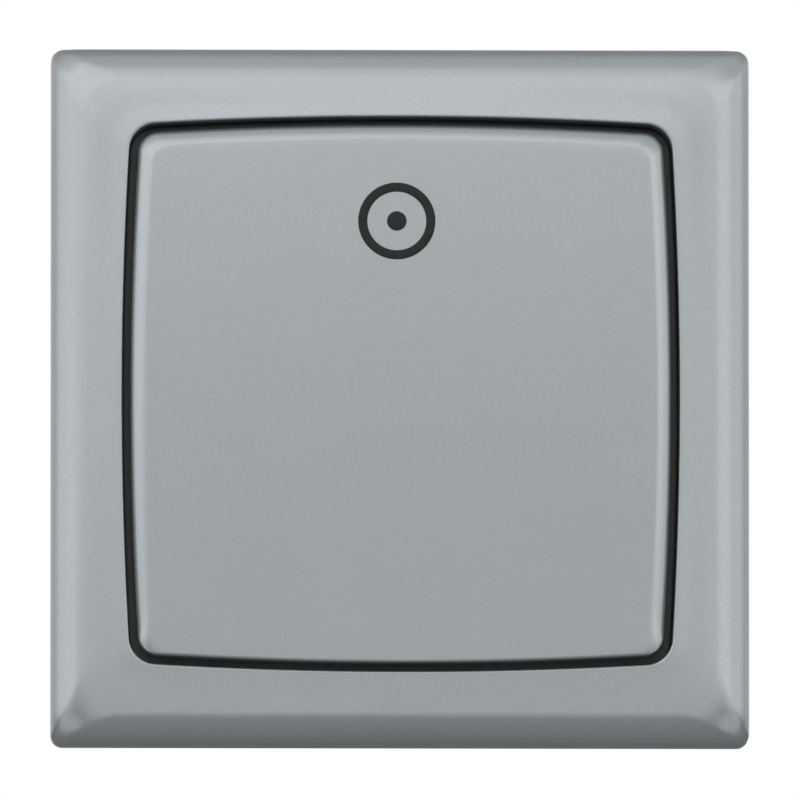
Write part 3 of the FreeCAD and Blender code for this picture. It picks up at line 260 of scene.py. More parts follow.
# How far the spray reaches, in metres: unlacquered up to the first distance and fully lacquered from the
# second on. The unlacquered zone is dark plastic that is also painted shade in the gaps and behind.
sprayAndShadeReach = {"front": (0.0056, 0.0072), "side": (0.0387, 0.0391)}


# Metal flakes in the lacquer, broad mottling, and the faint waviness of a sprayed coat.
# Deep in the opening and behind, the colour turns to dark unlacquered plastic without metal or coat: partly
# the plastic's own grey, partly painted shade that darkens the gaps between frame and rocker.
def flakeAndShadeGroup():
    group, start, end = newGroup(
        "sprayedLacquerAndShade",
        {"Flake Scale": 9000.0, "Flake Amount": 0.10, "Mottle Scale": 90.0, "Mottle Amount": 0.05,
         "Roughness": 0.36, "Rough Swing": 0.10, "Wave Scale": 700.0, "Grain Share": 0.12,
         "Metallic": 0.5, "Coat": 0.1},
        {"Color": (0.4, 0.4, 0.4, 1), "Bare Shade Color": (0.05, 0.05, 0.05, 1)},
        {"Color": "NodeSocketColor", "Roughness": "NodeSocketFloat", "Height": "NodeSocketFloat",
         "Metallic": "NodeSocketFloat", "Coat": "NodeSocketFloat"},
    )
    place = objectPlace(group)
    parts = group.nodes.new("ShaderNodeSeparateXYZ")
    group.links.new(place, parts.inputs[0])
    across = mathNode(group, "ABSOLUTE", parts.outputs["X"])
    up = mathNode(group, "ABSOLUTE", parts.outputs["Z"])
    reach = mathNode(group, "MAXIMUM", across, up)
    front = mathNode(group, "MULTIPLY", parts.outputs["Y"], -1.0)
    fromFront = smoothRange(group, front, *sprayAndShadeReach["front"])
    fromSide = smoothRange(group, reach, *sprayAndShadeReach["side"])
    # 1 where lacquered; towards 0 the surface darkens to the unlacquered grey, which is painted shade in the
    # gaps
    sprayedNotShaded = mathNode(group, "MAXIMUM", fromFront, fromSide)
    cells = group.nodes.new("ShaderNodeTexVoronoi")
    group.links.new(place, cells.inputs["Vector"])
    group.links.new(start.outputs["Flake Scale"], cells.inputs["Scale"])
    tone = group.nodes.new("ShaderNodeSeparateColor")
    group.links.new(cells.outputs["Color"], tone.inputs[0])
    mottle = noiseNode(group, place, start.outputs["Mottle Scale"], detail=3.0)
    flaked = shadedColor(group, start.outputs["Color"], tone.outputs[0], start.outputs["Flake Amount"])
    mottled = shadedColor(group, flaked, mottle, start.outputs["Mottle Amount"])
    swing = mathNode(group, "SUBTRACT", tone.outputs[1], 0.5)
    rough = mathNode(group, "MULTIPLY_ADD", swing, start.outputs["Rough Swing"], start.outputs["Roughness"])
    wave = noiseNode(group, place, start.outputs["Wave Scale"], detail=1.0)
    grain = noiseNode(group, place, start.outputs["Flake Scale"], detail=1.0)
    height = mathNode(group, "MULTIPLY_ADD", grain, start.outputs["Grain Share"], wave)
    layer = group.nodes.new("ShaderNodeMix")
    layer.data_type = "RGBA"
    group.links.new(sprayedNotShaded, layer.inputs["Factor"])
    group.links.new(start.outputs["Bare Shade Color"], layer.inputs["A"])
    group.links.new(mottled, layer.inputs["B"])
    group.links.new(layer.outputs["Result"], end.inputs["Color"])
    group.links.new(rough, end.inputs["Roughness"])
    group.links.new(height, end.inputs["Height"])
    group.links.new(mathNode(group, "MULTIPLY", sprayedNotShaded, start.outputs["Metallic"]), end.inputs["Metallic"])
    group.links.new(mathNode(group, "MULTIPLY", sprayedNotShaded, start.outputs["Coat"]), end.inputs["Coat"])
    return group


# The spark eroded grain of a mould, with slight flow marks in the colour
def grainGroup():
    group, start, end = newGroup(
        "mouldedGrain",
        {"Grain Scale": 2600.0, "Flow Scale": 60.0, "Flow Amount": 0.08, "Roughness": 0.5,
         "Rough Swing": 0.14},
        {"Color": (0.7, 0.7, 0.7, 1)},
        {"Color": "NodeSocketColor", "Roughness": "NodeSocketFloat", "Height": "NodeSocketFloat"},
    )
    place = objectPlace(group)
    flow = noiseNode(group, place, start.outputs["Flow Scale"], detail=4.0)
    grain = noiseNode(group, place, start.outputs["Grain Scale"])
    colored = shadedColor(group, start.outputs["Color"], flow, start.outputs["Flow Amount"])
    swing = mathNode(group, "SUBTRACT", grain, 0.5)
    rough = mathNode(group, "MULTIPLY_ADD", swing, start.outputs["Rough Swing"], start.outputs["Roughness"])
    group.links.new(colored, end.inputs["Color"])
    group.links.new(rough, end.inputs["Roughness"])
    group.links.new(grain, end.inputs["Height"])
    return group


# The rolled lines are 25 times longer along x
lineStretch = (0.04, 1.0, 1.0)


# Rolled sheet: fine lines along one axis, plating blotches, and a duller bloom
def sheetGroup():
    group, start, end = newGroup(
        "rolledSheet",
        {"Line Scale": 5200.0, "Blotch Scale": 260.0, "Blotch Amount": 0.16, "Roughness": 0.32, "Bloom": 0.30,
         "Line Roughness": 0.12},
        {"Color": (0.6, 0.6, 0.6, 1)},
        {"Color": "NodeSocketColor", "Roughness": "NodeSocketFloat", "Height": "NodeSocketFloat"},
    )
    place = objectPlace(group)
    stretch = group.nodes.new("ShaderNodeMapping")
    stretch.inputs["Scale"].default_value = lineStretch
    group.links.new(place, stretch.inputs["Vector"])
    lines = noiseNode(group, stretch.outputs[0], start.outputs["Line Scale"])
    blotch = noiseNode(group, place, start.outputs["Blotch Scale"], detail=5.0)
    colored = shadedColor(group, start.outputs["Color"], blotch, start.outputs["Blotch Amount"])
    swing = mathNode(group, "SUBTRACT", blotch, 0.5)
    bloom = mathNode(group, "MULTIPLY_ADD", swing, start.outputs["Bloom"], start.outputs["Roughness"])
    lineSwing = mathNode(group, "SUBTRACT", lines, 0.5)
    rough = mathNode(group, "MULTIPLY_ADD", lineSwing, start.outputs["Line Roughness"], bloom)
    group.links.new(colored, end.inputs["Color"])
    group.links.new(rough, end.inputs["Roughness"])
    group.links.new(lines, end.inputs["Height"])
    return group


lacquerAndShadeGroup = flakeAndShadeGroup()
plasticGroup = grainGroup()
metalGroup = sheetGroup()

finishes = {
    # The unlacquered colour of the silver lacquer is dark grey, set to serve as painted shade deep in the
    # gaps
    "silverLacquerShaded": {"group": lacquerAndShadeGroup, "color": (0.366, 0.395, 0.407), "rough": 0.34, "metallic": 0.55,
                      "coat": 0.15, "coatRough": 0.25, "bare": (0.125, 0.130, 0.134), "bump": 0.000003},
    "signInk": {"group": plasticGroup, "color": (0.008, 0.009, 0.009), "rough": 0.6, "specular": 0.3,
                "bump": 0.000002},
    "carrierPlastic": {"group": plasticGroup, "color": (0.78, 0.77, 0.71), "rough": 0.42, "bump": 0.000006},
    "paleGreyPlastic": {"group": plasticGroup, "color": (0.60, 0.61, 0.60), "rough": 0.50, "bump": 0.000012},
    "orangePlastic": {"group": plasticGroup, "color": (0.78, 0.20, 0.03), "rough": 0.36, "bump": 0.000006},
    "zincSteel": {"group": metalGroup, "color": (0.60, 0.62, 0.64), "rough": 0.30, "metallic": 1.0,
                  "bump": 0.000004},
    "springSteel": {"group": metalGroup, "color": (0.52, 0.52, 0.51), "rough": 0.24, "metallic": 1.0,
                    "bump": 0.000002},
    "stampedBrass": {"group": metalGroup, "color": (0.76, 0.55, 0.24), "rough": 0.26, "metallic": 1.0,
                     "bump": 0.000003},
    "silverTip": {"group": metalGroup, "color": (0.84, 0.84, 0.82), "rough": 0.22, "metallic": 1.0,
                  "bump": 0.000002},
}


def addFinish(name, values):
    material = bpy.data.materials.new(name)
    material.use_nodes = True
    tree = material.node_tree
    shader = tree.nodes["Principled BSDF"]
    effect = tree.nodes.new("ShaderNodeGroup")
    effect.node_tree = values["group"]
    effect.inputs["Color"].default_value = (*values["color"], 1)
    effect.inputs["Roughness"].default_value = values["rough"]
    bump = tree.nodes.new("ShaderNodeBump")
    bump.inputs["Distance"].default_value = values["bump"]
    tree.links.new(effect.outputs["Color"], shader.inputs["Base Color"])
    tree.links.new(effect.outputs["Roughness"], shader.inputs["Roughness"])
    tree.links.new(effect.outputs["Height"], bump.inputs["Height"])
    tree.links.new(bump.outputs["Normal"], shader.inputs["Normal"])
    # The lacquer darkens to its unlacquered colour deep in the opening and behind: painted shade, and the
    # plastic's own grey
    if "bare" in values:
        effect.inputs["Bare Shade Color"].default_value = (*values["bare"], 1)
        effect.inputs["Metallic"].default_value = values["metallic"]
        effect.inputs["Coat"].default_value = values["coat"]
        shader.inputs["Coat Roughness"].default_value = values["coatRough"]
        tree.links.new(effect.outputs["Metallic"], shader.inputs["Metallic"])
        tree.links.new(effect.outputs["Coat"], shader.inputs["Coat Weight"])
    else:
        shader.inputs["Metallic"].default_value = values.get("metallic", 0.0)
    shader.inputs["Specular IOR Level"].default_value = values.get("specular", 0.5)
    return material


materials = {name: addFinish(name, values) for name, values in finishes.items()}
print("finishes made:", len(materials))


# Shapes

# The four sided faces of a grid that is closed along each row, and from the last row to the first in a ring
def gridFaces(rows, columns, ring=False):
    row = np.arange(rows if ring else rows - 1)[:, None]
    column = np.arange(columns)[None, :]
    nextRow = (row + 1) % rows
    nextColumn = (column + 1) % columns
    corners = [row * columns + column, row * columns + nextColumn,
               nextRow * columns + nextColumn, nextRow * columns + column]
    return np.stack(corners, axis=-1).reshape(-1, 4)


# A fan of triangles from one middle point to a closed row
def fanFaces(middle, first, columns):
    column = np.arange(columns)
    return np.stack([np.full(columns, middle), first + column, first + (column + 1) % columns], axis=-1)


# A closed surface from a grid whose first and last row each shrink to a point
def closedGrid(points, startPoint, endPoint):
    rows, columns = points.shape[:2]
    count = rows * columns
    allPoints = np.concatenate([points.reshape(-1, 3), [startPoint, endPoint]])
    faces = gridFaces(rows, columns).tolist()
    faces += fanFaces(count, 0, columns).tolist()
    faces += fanFaces(count + 1, (rows - 1) * columns, columns).tolist()
    return allPoints, faces


# A flat outline carried from start to end along one axis: 0 for x, 1 for y, 2 for z
def prism(outline, axis, start, end):
    flat = np.asarray(outline, float)
    count = len(flat)
    others = [index for index in range(3) if index != axis]
    points = np.zeros((2, count, 3))
    points[:, :, others] = flat
    points[0, :, axis], points[1, :, axis] = start, end
    faces = gridFaces(2, count).tolist() + [list(range(count)), list(range(count, 2 * count))]
    return points.reshape(-1, 3), faces


# Points of an arc: middle + radius (cos, sin) of an angle that runs from start to end
def arc(middleAcross, middleFront, radius, start, end, steps):
    angle = np.radians(np.linspace(start, end, steps + 1))
    return np.stack([middleAcross + radius * np.cos(angle), middleFront + radius * np.sin(angle)], axis=-1)


def line(start, end, steps):
    share = np.linspace(0, 1, steps + 1)[:, None]
    return np.asarray(start) * (1 - share) + np.asarray(end) * share


# Square outlines with round corners and bowed sides, one for each row of half, corner and bow.
# Along a side: across = end + (half - end)(1 - s s), up = reach s. Round a corner: centre + corner (cos,
# sin). The quarter is mirrored about its diagonal and turned four times.
def bowedOutlines(half, corner, bow, sideSteps, cornerSteps):
    half, corner, bow = (np.asarray(value, float)[:, None] for value in (half, corner, bow))
    edge = half - bow
    tilt = np.arctan2(2 * bow, np.maximum(edge, tiny))
    centre = edge - corner / (np.cos(tilt) + np.sin(tilt))
    end = centre + corner * np.cos(tilt)
    reach = centre + corner * np.sin(tilt)
    s = np.sin(np.linspace(0, math.pi / 2, sideSteps, endpoint=False))[None, :]
    sideAcross = end + (half - end) * (1 - s * s)
    sideUp = reach * s
    angle = tilt + (math.pi / 2 - 2 * tilt) * np.linspace(0, 1, cornerSteps + 1)[None, :]
    roundAcross = centre + corner * np.cos(angle)
    roundUp = centre + corner * np.sin(angle)
    across = np.concatenate([sideAcross, roundAcross, sideUp[:, :0:-1]], axis=1)
    up = np.concatenate([sideUp, roundUp, sideAcross[:, :0:-1]], axis=1)
    return (np.concatenate([across, -up, -across, up], axis=1),
            np.concatenate([up, across, -up, -across], axis=1))


def smoothStep(value, low, high):
    share = np.clip((value - low) / (high - low), 0, 1)
    return share * share * (3 - 2 * share)


# One mesh from several closed parts, given in millimetres as across, front and up
def addPiece(name, parts, body, material, creaseAngle=32):
    allPoints, allFaces, count = [], [], 0
    for points, faces in parts:
        points = np.asarray(points, float)
        allPoints.append(points)
        allFaces += [[index + count for index in face] for face in faces]
        count += len(points)
    points = np.concatenate(allPoints) * mm
    mesh = bpy.data.meshes.new(name)
    mesh.from_pydata(points.tolist(), [], allFaces)
    work = bmesh.new()
    work.from_mesh(mesh)
    bmesh.ops.recalc_face_normals(work, faces=work.faces)
    work.to_mesh(mesh)
    work.free()
    mesh.shade_smooth()
    mesh.set_sharp_from_angle(angle=math.radians(creaseAngle))
    mesh.materials.append(materials[material])
    piece = bpy.data.objects.new(name, mesh)
    bpy.context.scene.collection.objects.link(piece)
    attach(piece, body)
    return piece


# Grid points from outlines and a front for each row: y is minus the front
def outlinePoints(across, up, front):
    return np.stack([across, np.broadcast_to(-front, across.shape), up], axis=-1)


# Cover frame: a ring of closed outlines, each at its own distance across and front, and four catches
frameShape = {
    "half": 40.5, "depth": 9.5, "wall": 1.8, "shoulder": 4.4, "slope": 6.0, "openingHalf": 32.3, "bow": 1.0,
    "outerCorner": 1.4, "shoulderCorner": 5.0, "openingCorner": 3.2, "innerCorner": 0.7, "leastCorner": 0.5,
    "lipRound": 0.2, "skirtWall": 1.5, "skirtBack": 3.1, "skirtRound": 0.2, "flangeWall": 0.7,
    "flangeWidth": 2.9, "flangeRound": 0.15, "footRound": 0.25, "rimRound": 0.25,
    "rowGap": 0.2, "lipGap": 0.3, "footGap": 0.4, "bowGap": 0.5, "crease": 0.1,
    "shoulderSteps": 26, "lipSteps": 12, "faceSteps": 16, "innerSteps": 10, "sideSteps": 30,
    "cornerSteps": 20, "catchUp": 16.0, "catchWidth": 5.2, "catchRoot": 0.9, "catchReach": 1.6,
    "catchBack": 2.65, "catchTip": 3.25, "catchFront": 3.85,
}


# Where two shoulders meet, the round a of each row is deepened by both sides' rounds b and c, which leaves no
# crease: drop = a + b c / (b + c). A round at the distance d: radius - sqrt(radius^2 - (radius - d)^2), less
# the face's slope. The outer wall below ends lower there, by the same drop.
def cushionFronts(shape, paths, outlines, front):
    starts = np.cumsum([0] + [len(path) for path in paths])
    half, slope = shape["half"], math.tan(math.radians(shape["slope"]))
    wallRows, shoulderRows = (np.arange(starts[n], starts[n + 1]) for n in (2, 3))  # as framePaths lists them
    section = paths[3]
    drop = section[-1, 1] + (section[-1, 0] - section[:, 0]) * slope - section[:, 1]
    b, c = (np.interp(half - np.abs(flat[shoulderRows]), half - section[:, 0], drop) for flat in outlines)
    fronts = np.broadcast_to(front[:, None], outlines[0].shape).copy()
    fronts[shoulderRows] -= b * c / (b + c + tiny)
    rim, side = shape["rimRound"], section[0, 1]
    share = (front[wallRows, None] - rim) / (side - rim)
    fronts[wallRows] = rim + (fronts[shoulderRows[:1]] - rim) * share
    return fronts


# The frame's section, from the back rim round the outside, over the face, down the opening and back inside
def framePaths(shape):
    half, wall, slope = shape["half"], shape["wall"], math.radians(shape["slope"])
    opening, depth = shape["openingHalf"], shape["depth"]
    turn = 90 - shape["slope"]

    # Where the side wall ends and the shoulder begins, for a section of that half width and depth
    def sideEnd(blockHalf, blockDepth, radius):
        rise = (blockHalf - opening - radius + radius * math.sin(slope)) * math.tan(slope)
        return blockDepth - rise - radius * math.cos(slope)

    def faceFront(across, blockDepth):
        return blockDepth - (across - opening) * math.tan(slope)

    outer, inner = shape["shoulder"], shape["shoulder"] - wall
    outerSide, innerSide = sideEnd(half, depth, outer), sideEnd(half - wall, depth - wall, inner)
    shoulder = arc(half - outer, outerSide, outer, 0, turn, shape["shoulderSteps"])
    lip = shape["lipRound"]
    lipMiddle = faceFront(opening + lip, depth) - lip / math.cos(slope)
    lipArc = arc(opening + lip, lipMiddle, lip, turn, 180, shape["lipSteps"])
    innerArc = arc(half - wall - inner, innerSide, inner, turn, 0, shape["innerSteps"])
    skirtOut, skirtBack = opening + shape["skirtWall"], shape["skirtBack"]
    under = faceFront(skirtOut, depth - wall)
    flangeFront, flangeEdge = skirtBack + shape["flangeWall"], opening - shape["flangeWidth"]
    rim, foot, edge, skirt = (shape[key + "Round"] for key in ("rim", "foot", "flange", "skirt"))
    row, lipGap, footGap, crease = (shape[key] for key in ("rowGap", "lipGap", "footGap", "crease"))
    return [
        arc(half - wall + rim, rim, rim, 180, 270, 3),
        arc(half - rim, rim, rim, -90, 0, 4),
        line((half, rim + row), (half, outerSide - row), 3),
        shoulder,
        line(shoulder[-1], lipArc[0], shape["faceSteps"])[1:-1],
        lipArc,
        line((opening, lipMiddle - lipGap), (opening, flangeFront + footGap), 4),
        arc(opening - foot, flangeFront + foot, foot, 0, -90, 3),
        line((opening - 2 * foot, flangeFront), (flangeEdge + footGap, flangeFront), 3),
        arc(flangeEdge + edge, flangeFront - edge, edge, 90, 180, 3),
        arc(flangeEdge + edge, skirtBack + edge, edge, 180, 270, 3),
        arc(skirtOut - skirt, skirtBack + skirt, skirt, -90, 0, 3),
        line((skirtOut, skirtBack + 2 * skirt), (skirtOut, under - crease), 2),
        line((skirtOut + crease, under), innerArc[0], 6)[:-1],
        innerArc,
        line((half - wall, innerSide - row), (half - wall, rim + row), 3),
    ]


# Each row's corner grows from the outer wall's to the shoulder's, then shrinks to the opening's. Inside, it
# follows the opening's at a constant wall, and behind the skirt it shrinks to the inner wall's.
def frameCorners(shape, across, outside):
    half, opening, shoulder = shape["half"], shape["openingHalf"], shape["shoulder"]
    outer, shoulderCorner, openingCorner = (shape[key + "Corner"] for key in ("outer", "shoulder", "opening"))
    skirtOut = opening + shape["skirtWall"]
    inward = half - across
    soft = (outer
            + (shoulderCorner - outer) * smoothStep(inward, 0.0, shoulder)
            + (openingCorner - shoulderCorner) * smoothStep(inward, shoulder, half - opening))
    widest = openingCorner + shape["skirtWall"] - shape["innerCorner"]
    hidden = shape["innerCorner"] + widest * smoothStep(inward, shape["wall"], half - skirtOut)
    follow = np.maximum(openingCorner + across - opening, shape["leastCorner"])
    inside = np.where(across < skirtOut - shape["crease"], follow, hidden)
    return np.where(outside, soft, inside)


# A catch inside each side wall, above and below the middle
def frameCatches(shape):
    wall = shape["half"] - shape["wall"]
    root, tip = wall + shape["catchRoot"], wall - shape["catchReach"]
    back, middle, front = -shape["catchBack"], -shape["catchTip"], -shape["catchFront"]
    catches = []
    for hand in (1, -1):
        for level in (1, -1):
            outline = [(hand * root, back), (hand * wall, back), (hand * tip, middle), (hand * tip, front),
                       (hand * root, front)]
            low = level * shape["catchUp"] - shape["catchWidth"] / 2
            catches.append(prism(outline, 2, low, low + shape["catchWidth"]))
    return catches


def makeFrame(shape):
    paths = framePaths(shape)
    profile = np.concatenate(paths)
    across, front = profile[:, 0], profile[:, 1]
    outside = np.arange(len(profile)) < sum(len(path) for path in paths[:6])  # from the back rim to the lip
    corner = frameCorners(shape, across, outside)
    skirtOut = shape["openingHalf"] + shape["skirtWall"]
    bowStart, bowEnd = shape["shoulder"] + shape["bowGap"], shape["half"] - skirtOut - shape["rowGap"]
    bow = shape["bow"] * smoothStep(shape["half"] - across, bowStart, bowEnd)
    outlines = bowedOutlines(across, corner, bow, shape["sideSteps"], shape["cornerSteps"])
    points = outlinePoints(*outlines, cushionFronts(shape, paths, outlines, front))
    rows, columns = points.shape[:2]
    parts = [(points.reshape(-1, 3), gridFaces(rows, columns, ring=True).tolist())]
    parts += frameCatches(shape)
    piece = addPiece("frameShell", parts, "root", "silverLacquerShaded")
    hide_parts("cover_frame")
    return piece


makeFrame(frameShape)
print("frame made")

# Rocker: a crowned face with a round edge, side walls, a hollow back, two ribs and four hooks
rockerShape = {
    "half": 31.3, "front": 10.7, "back": 6.5, "crown": 0.4, "bow": 1.0, "wall": 2.0, "corner": 2.4,
    "innerCorner": 0.6, "edgeRound": 1.8, "lowerRound": 0.3, "lowerRange": (0.86, 0.98), "rimRound": 0.2,
    "innerRound": 0.3, "faceSteps": 35, "edgeSteps": 14, "sideSteps": 26, "cornerSteps": 14,
    "ribAcross": 22.975, "ribWall": 1.2, "ribHeight": 1.8, "overlap": 0.6,
    "hookAcross": 12.0, "hookUp": 20.0, "hookWidth": 4.0, "hookWall": 1.2, "hookBite": 0.6, "hookBack": 6.45,
    "hookBarb": 0.8,
}


# The face bulges in the middle of its height: crown (1 - (up / half) squared)
def crownAt(shape, up):
    return shape["crown"] * np.clip(1 - (up / shape["half"]) ** 2, 0, 1)


# The rocker's section, from the middle of the face over its edge to the back rim, and back inside
def rockerPaths(shape):
    half, front, back = shape["half"], shape["front"], shape["back"]
    edge, rim, wall, bend = shape["edgeRound"], shape["rimRound"], shape["wall"], shape["innerRound"]
    inside = front - wall
    shares = np.linspace(0, 1, shape["faceSteps"] + 1)[1:-1]
    face = np.stack([(half - edge) * (1 - shares), np.full(len(shares), front)], axis=-1)
    inner = np.stack([(half - wall) * (1 - shares), np.full(len(shares), inside)], axis=-1)
    return [
        face[::-1],
        arc(half - edge, front - edge, edge, 90, 0, shape["edgeSteps"]),
        line((half, front - edge - rim), (half, back + 1.5 * rim), 4),
        arc(half - rim, back + rim, rim, 0, -90, 3),
        arc(half - wall + rim, back + rim, rim, 270, 180, 3),
        line((half - wall, back + 1.5 * rim), (half - wall, inside - bend), 2),
        arc(half - wall - bend, inside - bend, bend, 0, 90, 3),
        inner,
    ]


# The lower edge has a smaller round: there the rows move out and forward by a share of their way, which grows
# where down / across passes the lower range
def sharpenLowerEdge(shape, across, height, ups, ahead):
    half, edge = shape["half"], shape["edgeRound"]
    most = 1 - shape["lowerRound"] / edge
    share = most * smoothStep(-ups / np.maximum(across, tiny)[:, None], *shape["lowerRange"])
    way = np.where(across > half - edge, half - across, edge * (across / (half - edge)) ** 2)
    out = share * np.where(ahead, way, 0)[:, None]
    rise = share * np.where(ahead, shape["front"] - height, 0)[:, None]
    return ups - out, rise


# Two ribs up the hollow back and four hooks, which lie inside the wall of the face with their roots
def rockerBack(shape):
    ceiling, ribWall = shape["wall"] - shape["front"], shape["ribWall"]
    root, foot = ceiling - shape["overlap"], ceiling + shape["ribHeight"]
    ribTop = shape["half"] - shape["wall"] - shape["bow"]
    up, wall, barb, hookBack = shape["hookUp"], shape["hookWall"], shape["hookBarb"], shape["hookBack"]
    parts = []
    for hand in (1, -1):
        start, end = hand * shape["ribAcross"] - ribWall / 2, hand * shape["ribAcross"] + ribWall / 2
        parts.append(prism([(start, root), (end, root), (end, foot), (start, foot)], 2, -ribTop, ribTop))
        for level in (1, -1):
            near, far, tip = level * up, level * (up + wall), level * (up + wall + shape["hookBite"])
            outline = [(root, near), (root, far), (-hookBack - barb, far), (-hookBack - barb, tip),
                       (-hookBack - barb / 4, tip), (-hookBack, far), (-hookBack, near)]
            left = hand * shape["hookAcross"] - shape["hookWidth"] / 2
            parts.append(prism(outline, 0, left, left + shape["hookWidth"]))
    return parts


def makeRocker(shape):
    paths = rockerPaths(shape)
    profile = np.concatenate(paths)
    across, height = profile[:, 0], profile[:, 1]
    row = np.arange(len(profile))
    outer = row < sum(len(path) for path in paths[:4])  # the face, its edge, the side and the rim
    ahead = row < len(paths[0]) + len(paths[1])
    share = across / shape["half"]
    corner = np.where(outer, shape["corner"], shape["innerCorner"]) * np.clip(share, 0, 1)
    outlines = bowedOutlines(across, corner, shape["bow"] * share, shape["sideSteps"], shape["cornerSteps"])
    ups, rise = sharpenLowerEdge(shape, across, height, outlines[1], ahead)
    sideTop = shape["front"] - shape["edgeRound"]
    lift = np.where(outer, np.clip((height - shape["back"]) / (sideTop - shape["back"]), 0, 1), 0)[:, None]
    points = outlinePoints(outlines[0], ups, height[:, None] + rise + lift * crownAt(shape, ups))
    facePole, backPole = (0, -(shape["front"] + shape["crown"]), 0), (0, shape["wall"] - shape["front"], 0)
    parts = [closedGrid(points, facePole, backPole)] + rockerBack(shape)
    piece = addPiece("rockerShell", parts, "rocker", "silverLacquerShaded")
    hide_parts("rocker_cover")
    return piece


makeRocker(rockerShape)
print("rocker made")

# The printed sign: a ring with a dot, the general sign for a push button, raised by the ink's thickness
signShape = {
    "across": -0.5, "up": 19.95, "outer": 4.48, "inner": 3.41, "dot": 1.136, "ink": 0.03, "inkBevel": 0.03,
    "sideShare": 0.6, "sink": 0.10, "steps": 128,
}


# A band of ink round the sign's middle follows the face: each point is lifted by the crown at its height
def makeSign(shape, rocker):
    angle = np.linspace(0, 2 * math.pi, shape["steps"], endpoint=False)[None, :]

    def bandPoints(profile):
        radius, lift = profile[:, :1], profile[:, 1:]
        across = shape["across"] + radius * np.cos(angle)
        up = shape["up"] + radius * np.sin(angle)
        face = rocker["front"] + crownAt(rocker, up)
        return np.stack([across, -(face + lift), up], axis=-1)

    ink, bevel, sink = shape["ink"], shape["inkBevel"], shape["sink"]
    outer, inner, dot = shape["outer"], shape["inner"], shape["dot"]
    side = ink * shape["sideShare"]
    ring = bandPoints(np.array([
        (inner, -sink), (inner, side), (inner + bevel, ink),
        (outer - bevel, ink), (outer, side), (outer, -sink),
    ]))
    rows, columns = ring.shape[:2]
    parts = [(ring.reshape(-1, 3), gridFaces(rows, columns, ring=True).tolist())]
    disc = bandPoints(np.array([
        (dot / 2, -sink), (dot, -sink), (dot, side), (dot - bevel, ink), (dot / 2, ink),
    ]))
    face = rocker["front"] + float(crownAt(rocker, shape["up"]))
    below, above = ((shape["across"], -(face + lift), shape["up"]) for lift in (-sink, ink))
    parts.append(closedGrid(disc, below, above))
    return addPiece("printedSign", parts, "rocker", "signInk")


makeSign(signShape, rockerShape)
print("sign printed")


# Coil springs: a round wire along a helix about the plunger's axis. The turns lie closer at both ends:
# way(u) = u - close sin(2 pi u) / (2 pi), u from 0 to 1
springShapes = {
    "returnCoil": {"node": "return_spring", "body": "root", "radius": 2.5, "front": -6.9, "back": -15.9,
                   "turns": 5.0, "phase": 0.0},
    "contactCoil": {"node": "contact_spring", "body": "plunger", "radius": 3.0, "front": -3.1, "back": -5.9,
                    "turns": 3.0, "phase": 1.4},
}
springWire = {"wire": 0.25, "close": 0.75, "axisUp": 13.0, "stepsPerTurn": 44, "around": 12}


def makeCoil(name, shape, wire):
    u = np.linspace(0, 1, int(wire["stepsPerTurn"] * shape["turns"]) + 1)[:, None]
    turn = shape["phase"] + 2 * math.pi * shape["turns"] * u
    way = u - wire["close"] * np.sin(2 * math.pi * u) / (2 * math.pi)
    first, last = shape["front"] - wire["wire"], shape["back"] + wire["wire"]
    middle = first + (last - first) * way
    around = np.linspace(0, 2 * math.pi, wire["around"], endpoint=False)[None, :]
    radius = shape["radius"] + wire["wire"] * np.cos(around)
    across, up = radius * np.cos(turn), wire["axisUp"] + radius * np.sin(turn)
    points = np.stack([across, -(middle + wire["wire"] * np.sin(around)), up], axis=-1)
    ends = [points[row].mean(axis=0) for row in (0, -1)]
    piece = addPiece(name, [closedGrid(points, *ends)], shape["body"], "springSteel")
    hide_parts(shape["node"])
    return piece


# Each spring is wound, and the one fixed to the root gets a mesh of its own
for name, shape in springShapes.items():
    coil = makeCoil(name, shape, springWire)
    if shape["body"] == "root":
        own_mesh(coil)
print("springs wound")

# Claw screws: a rolled thread, a neck, and a round head with a slot
screwShape = {
    "across": 20.5, "end": -17.0, "crest": 1.74, "root": 1.42, "pitch": 0.6, "crestShare": 1.25,
    "neckRange": (0.4, 1.2), "runOut": 0.7, "pointLength": 0.8, "pointDrop": 0.5, "overlap": 0.1,
    "headSeat": 1.0, "headHeight": 2.0, "headRadius": 2.9, "seatBevel": 0.12, "discBevel": 0.02,
    "crownRound": 0.9, "crownTurn": 80, "crownFlat": 0.8, "crownSteps": 7,
    "slotHalf": 0.41, "slotDepth": 1.2, "slotBevel": 0.05, "poleUp": 1.0,
    "around": 28, "stepsPerPitch": 8, "sweepSteps": 32, "chordSteps": 9,
}


# Thread: radius = root + (crest - root) wave(front / pitch + turn), where wave is a clipped triangle that
# fades at the neck and at the point
def screwShank(shape):
    seat, end = shape["headSeat"], shape["end"]
    steps = int((seat - end) / shape["pitch"] * shape["stepsPerPitch"])
    front = np.linspace(seat + shape["overlap"], end, steps)[:, None]
    turn = np.linspace(0, 2 * math.pi, shape["around"], endpoint=False)[None, :]
    share = np.mod(front / shape["pitch"] + turn / (2 * math.pi), 1)
    wave = np.clip(shape["crestShare"] * (1 - np.abs(2 * share - 1)), 0, 1)
    fade = smoothStep(seat - front, *shape["neckRange"]) * smoothStep(front - end, 0.0, shape["runOut"])
    point = shape["pointDrop"] * (1 - smoothStep(front - end, 0.0, shape["pointLength"]))
    radius = shape["root"] + (shape["crest"] - shape["root"]) * wave * fade - point
    return radius * np.cos(turn), front, radius * np.sin(turn)


# The head below its slot: rows of radius and front, turned about the axis
def screwDisc(shape, floor):
    head, seat, edge = shape["headRadius"], shape["headSeat"], shape["discBevel"]
    low, high = seat + shape["seatBevel"], floor - edge
    profile = np.array([(head - shape["seatBevel"], seat), (head, low), (head, high), (head - edge, floor)])
    turn = np.linspace(0, 2 * math.pi, shape["around"], endpoint=False)[None, :]
    return profile[:, :1] * np.cos(turn), profile[:, 1:], profile[:, :1] * np.sin(turn)


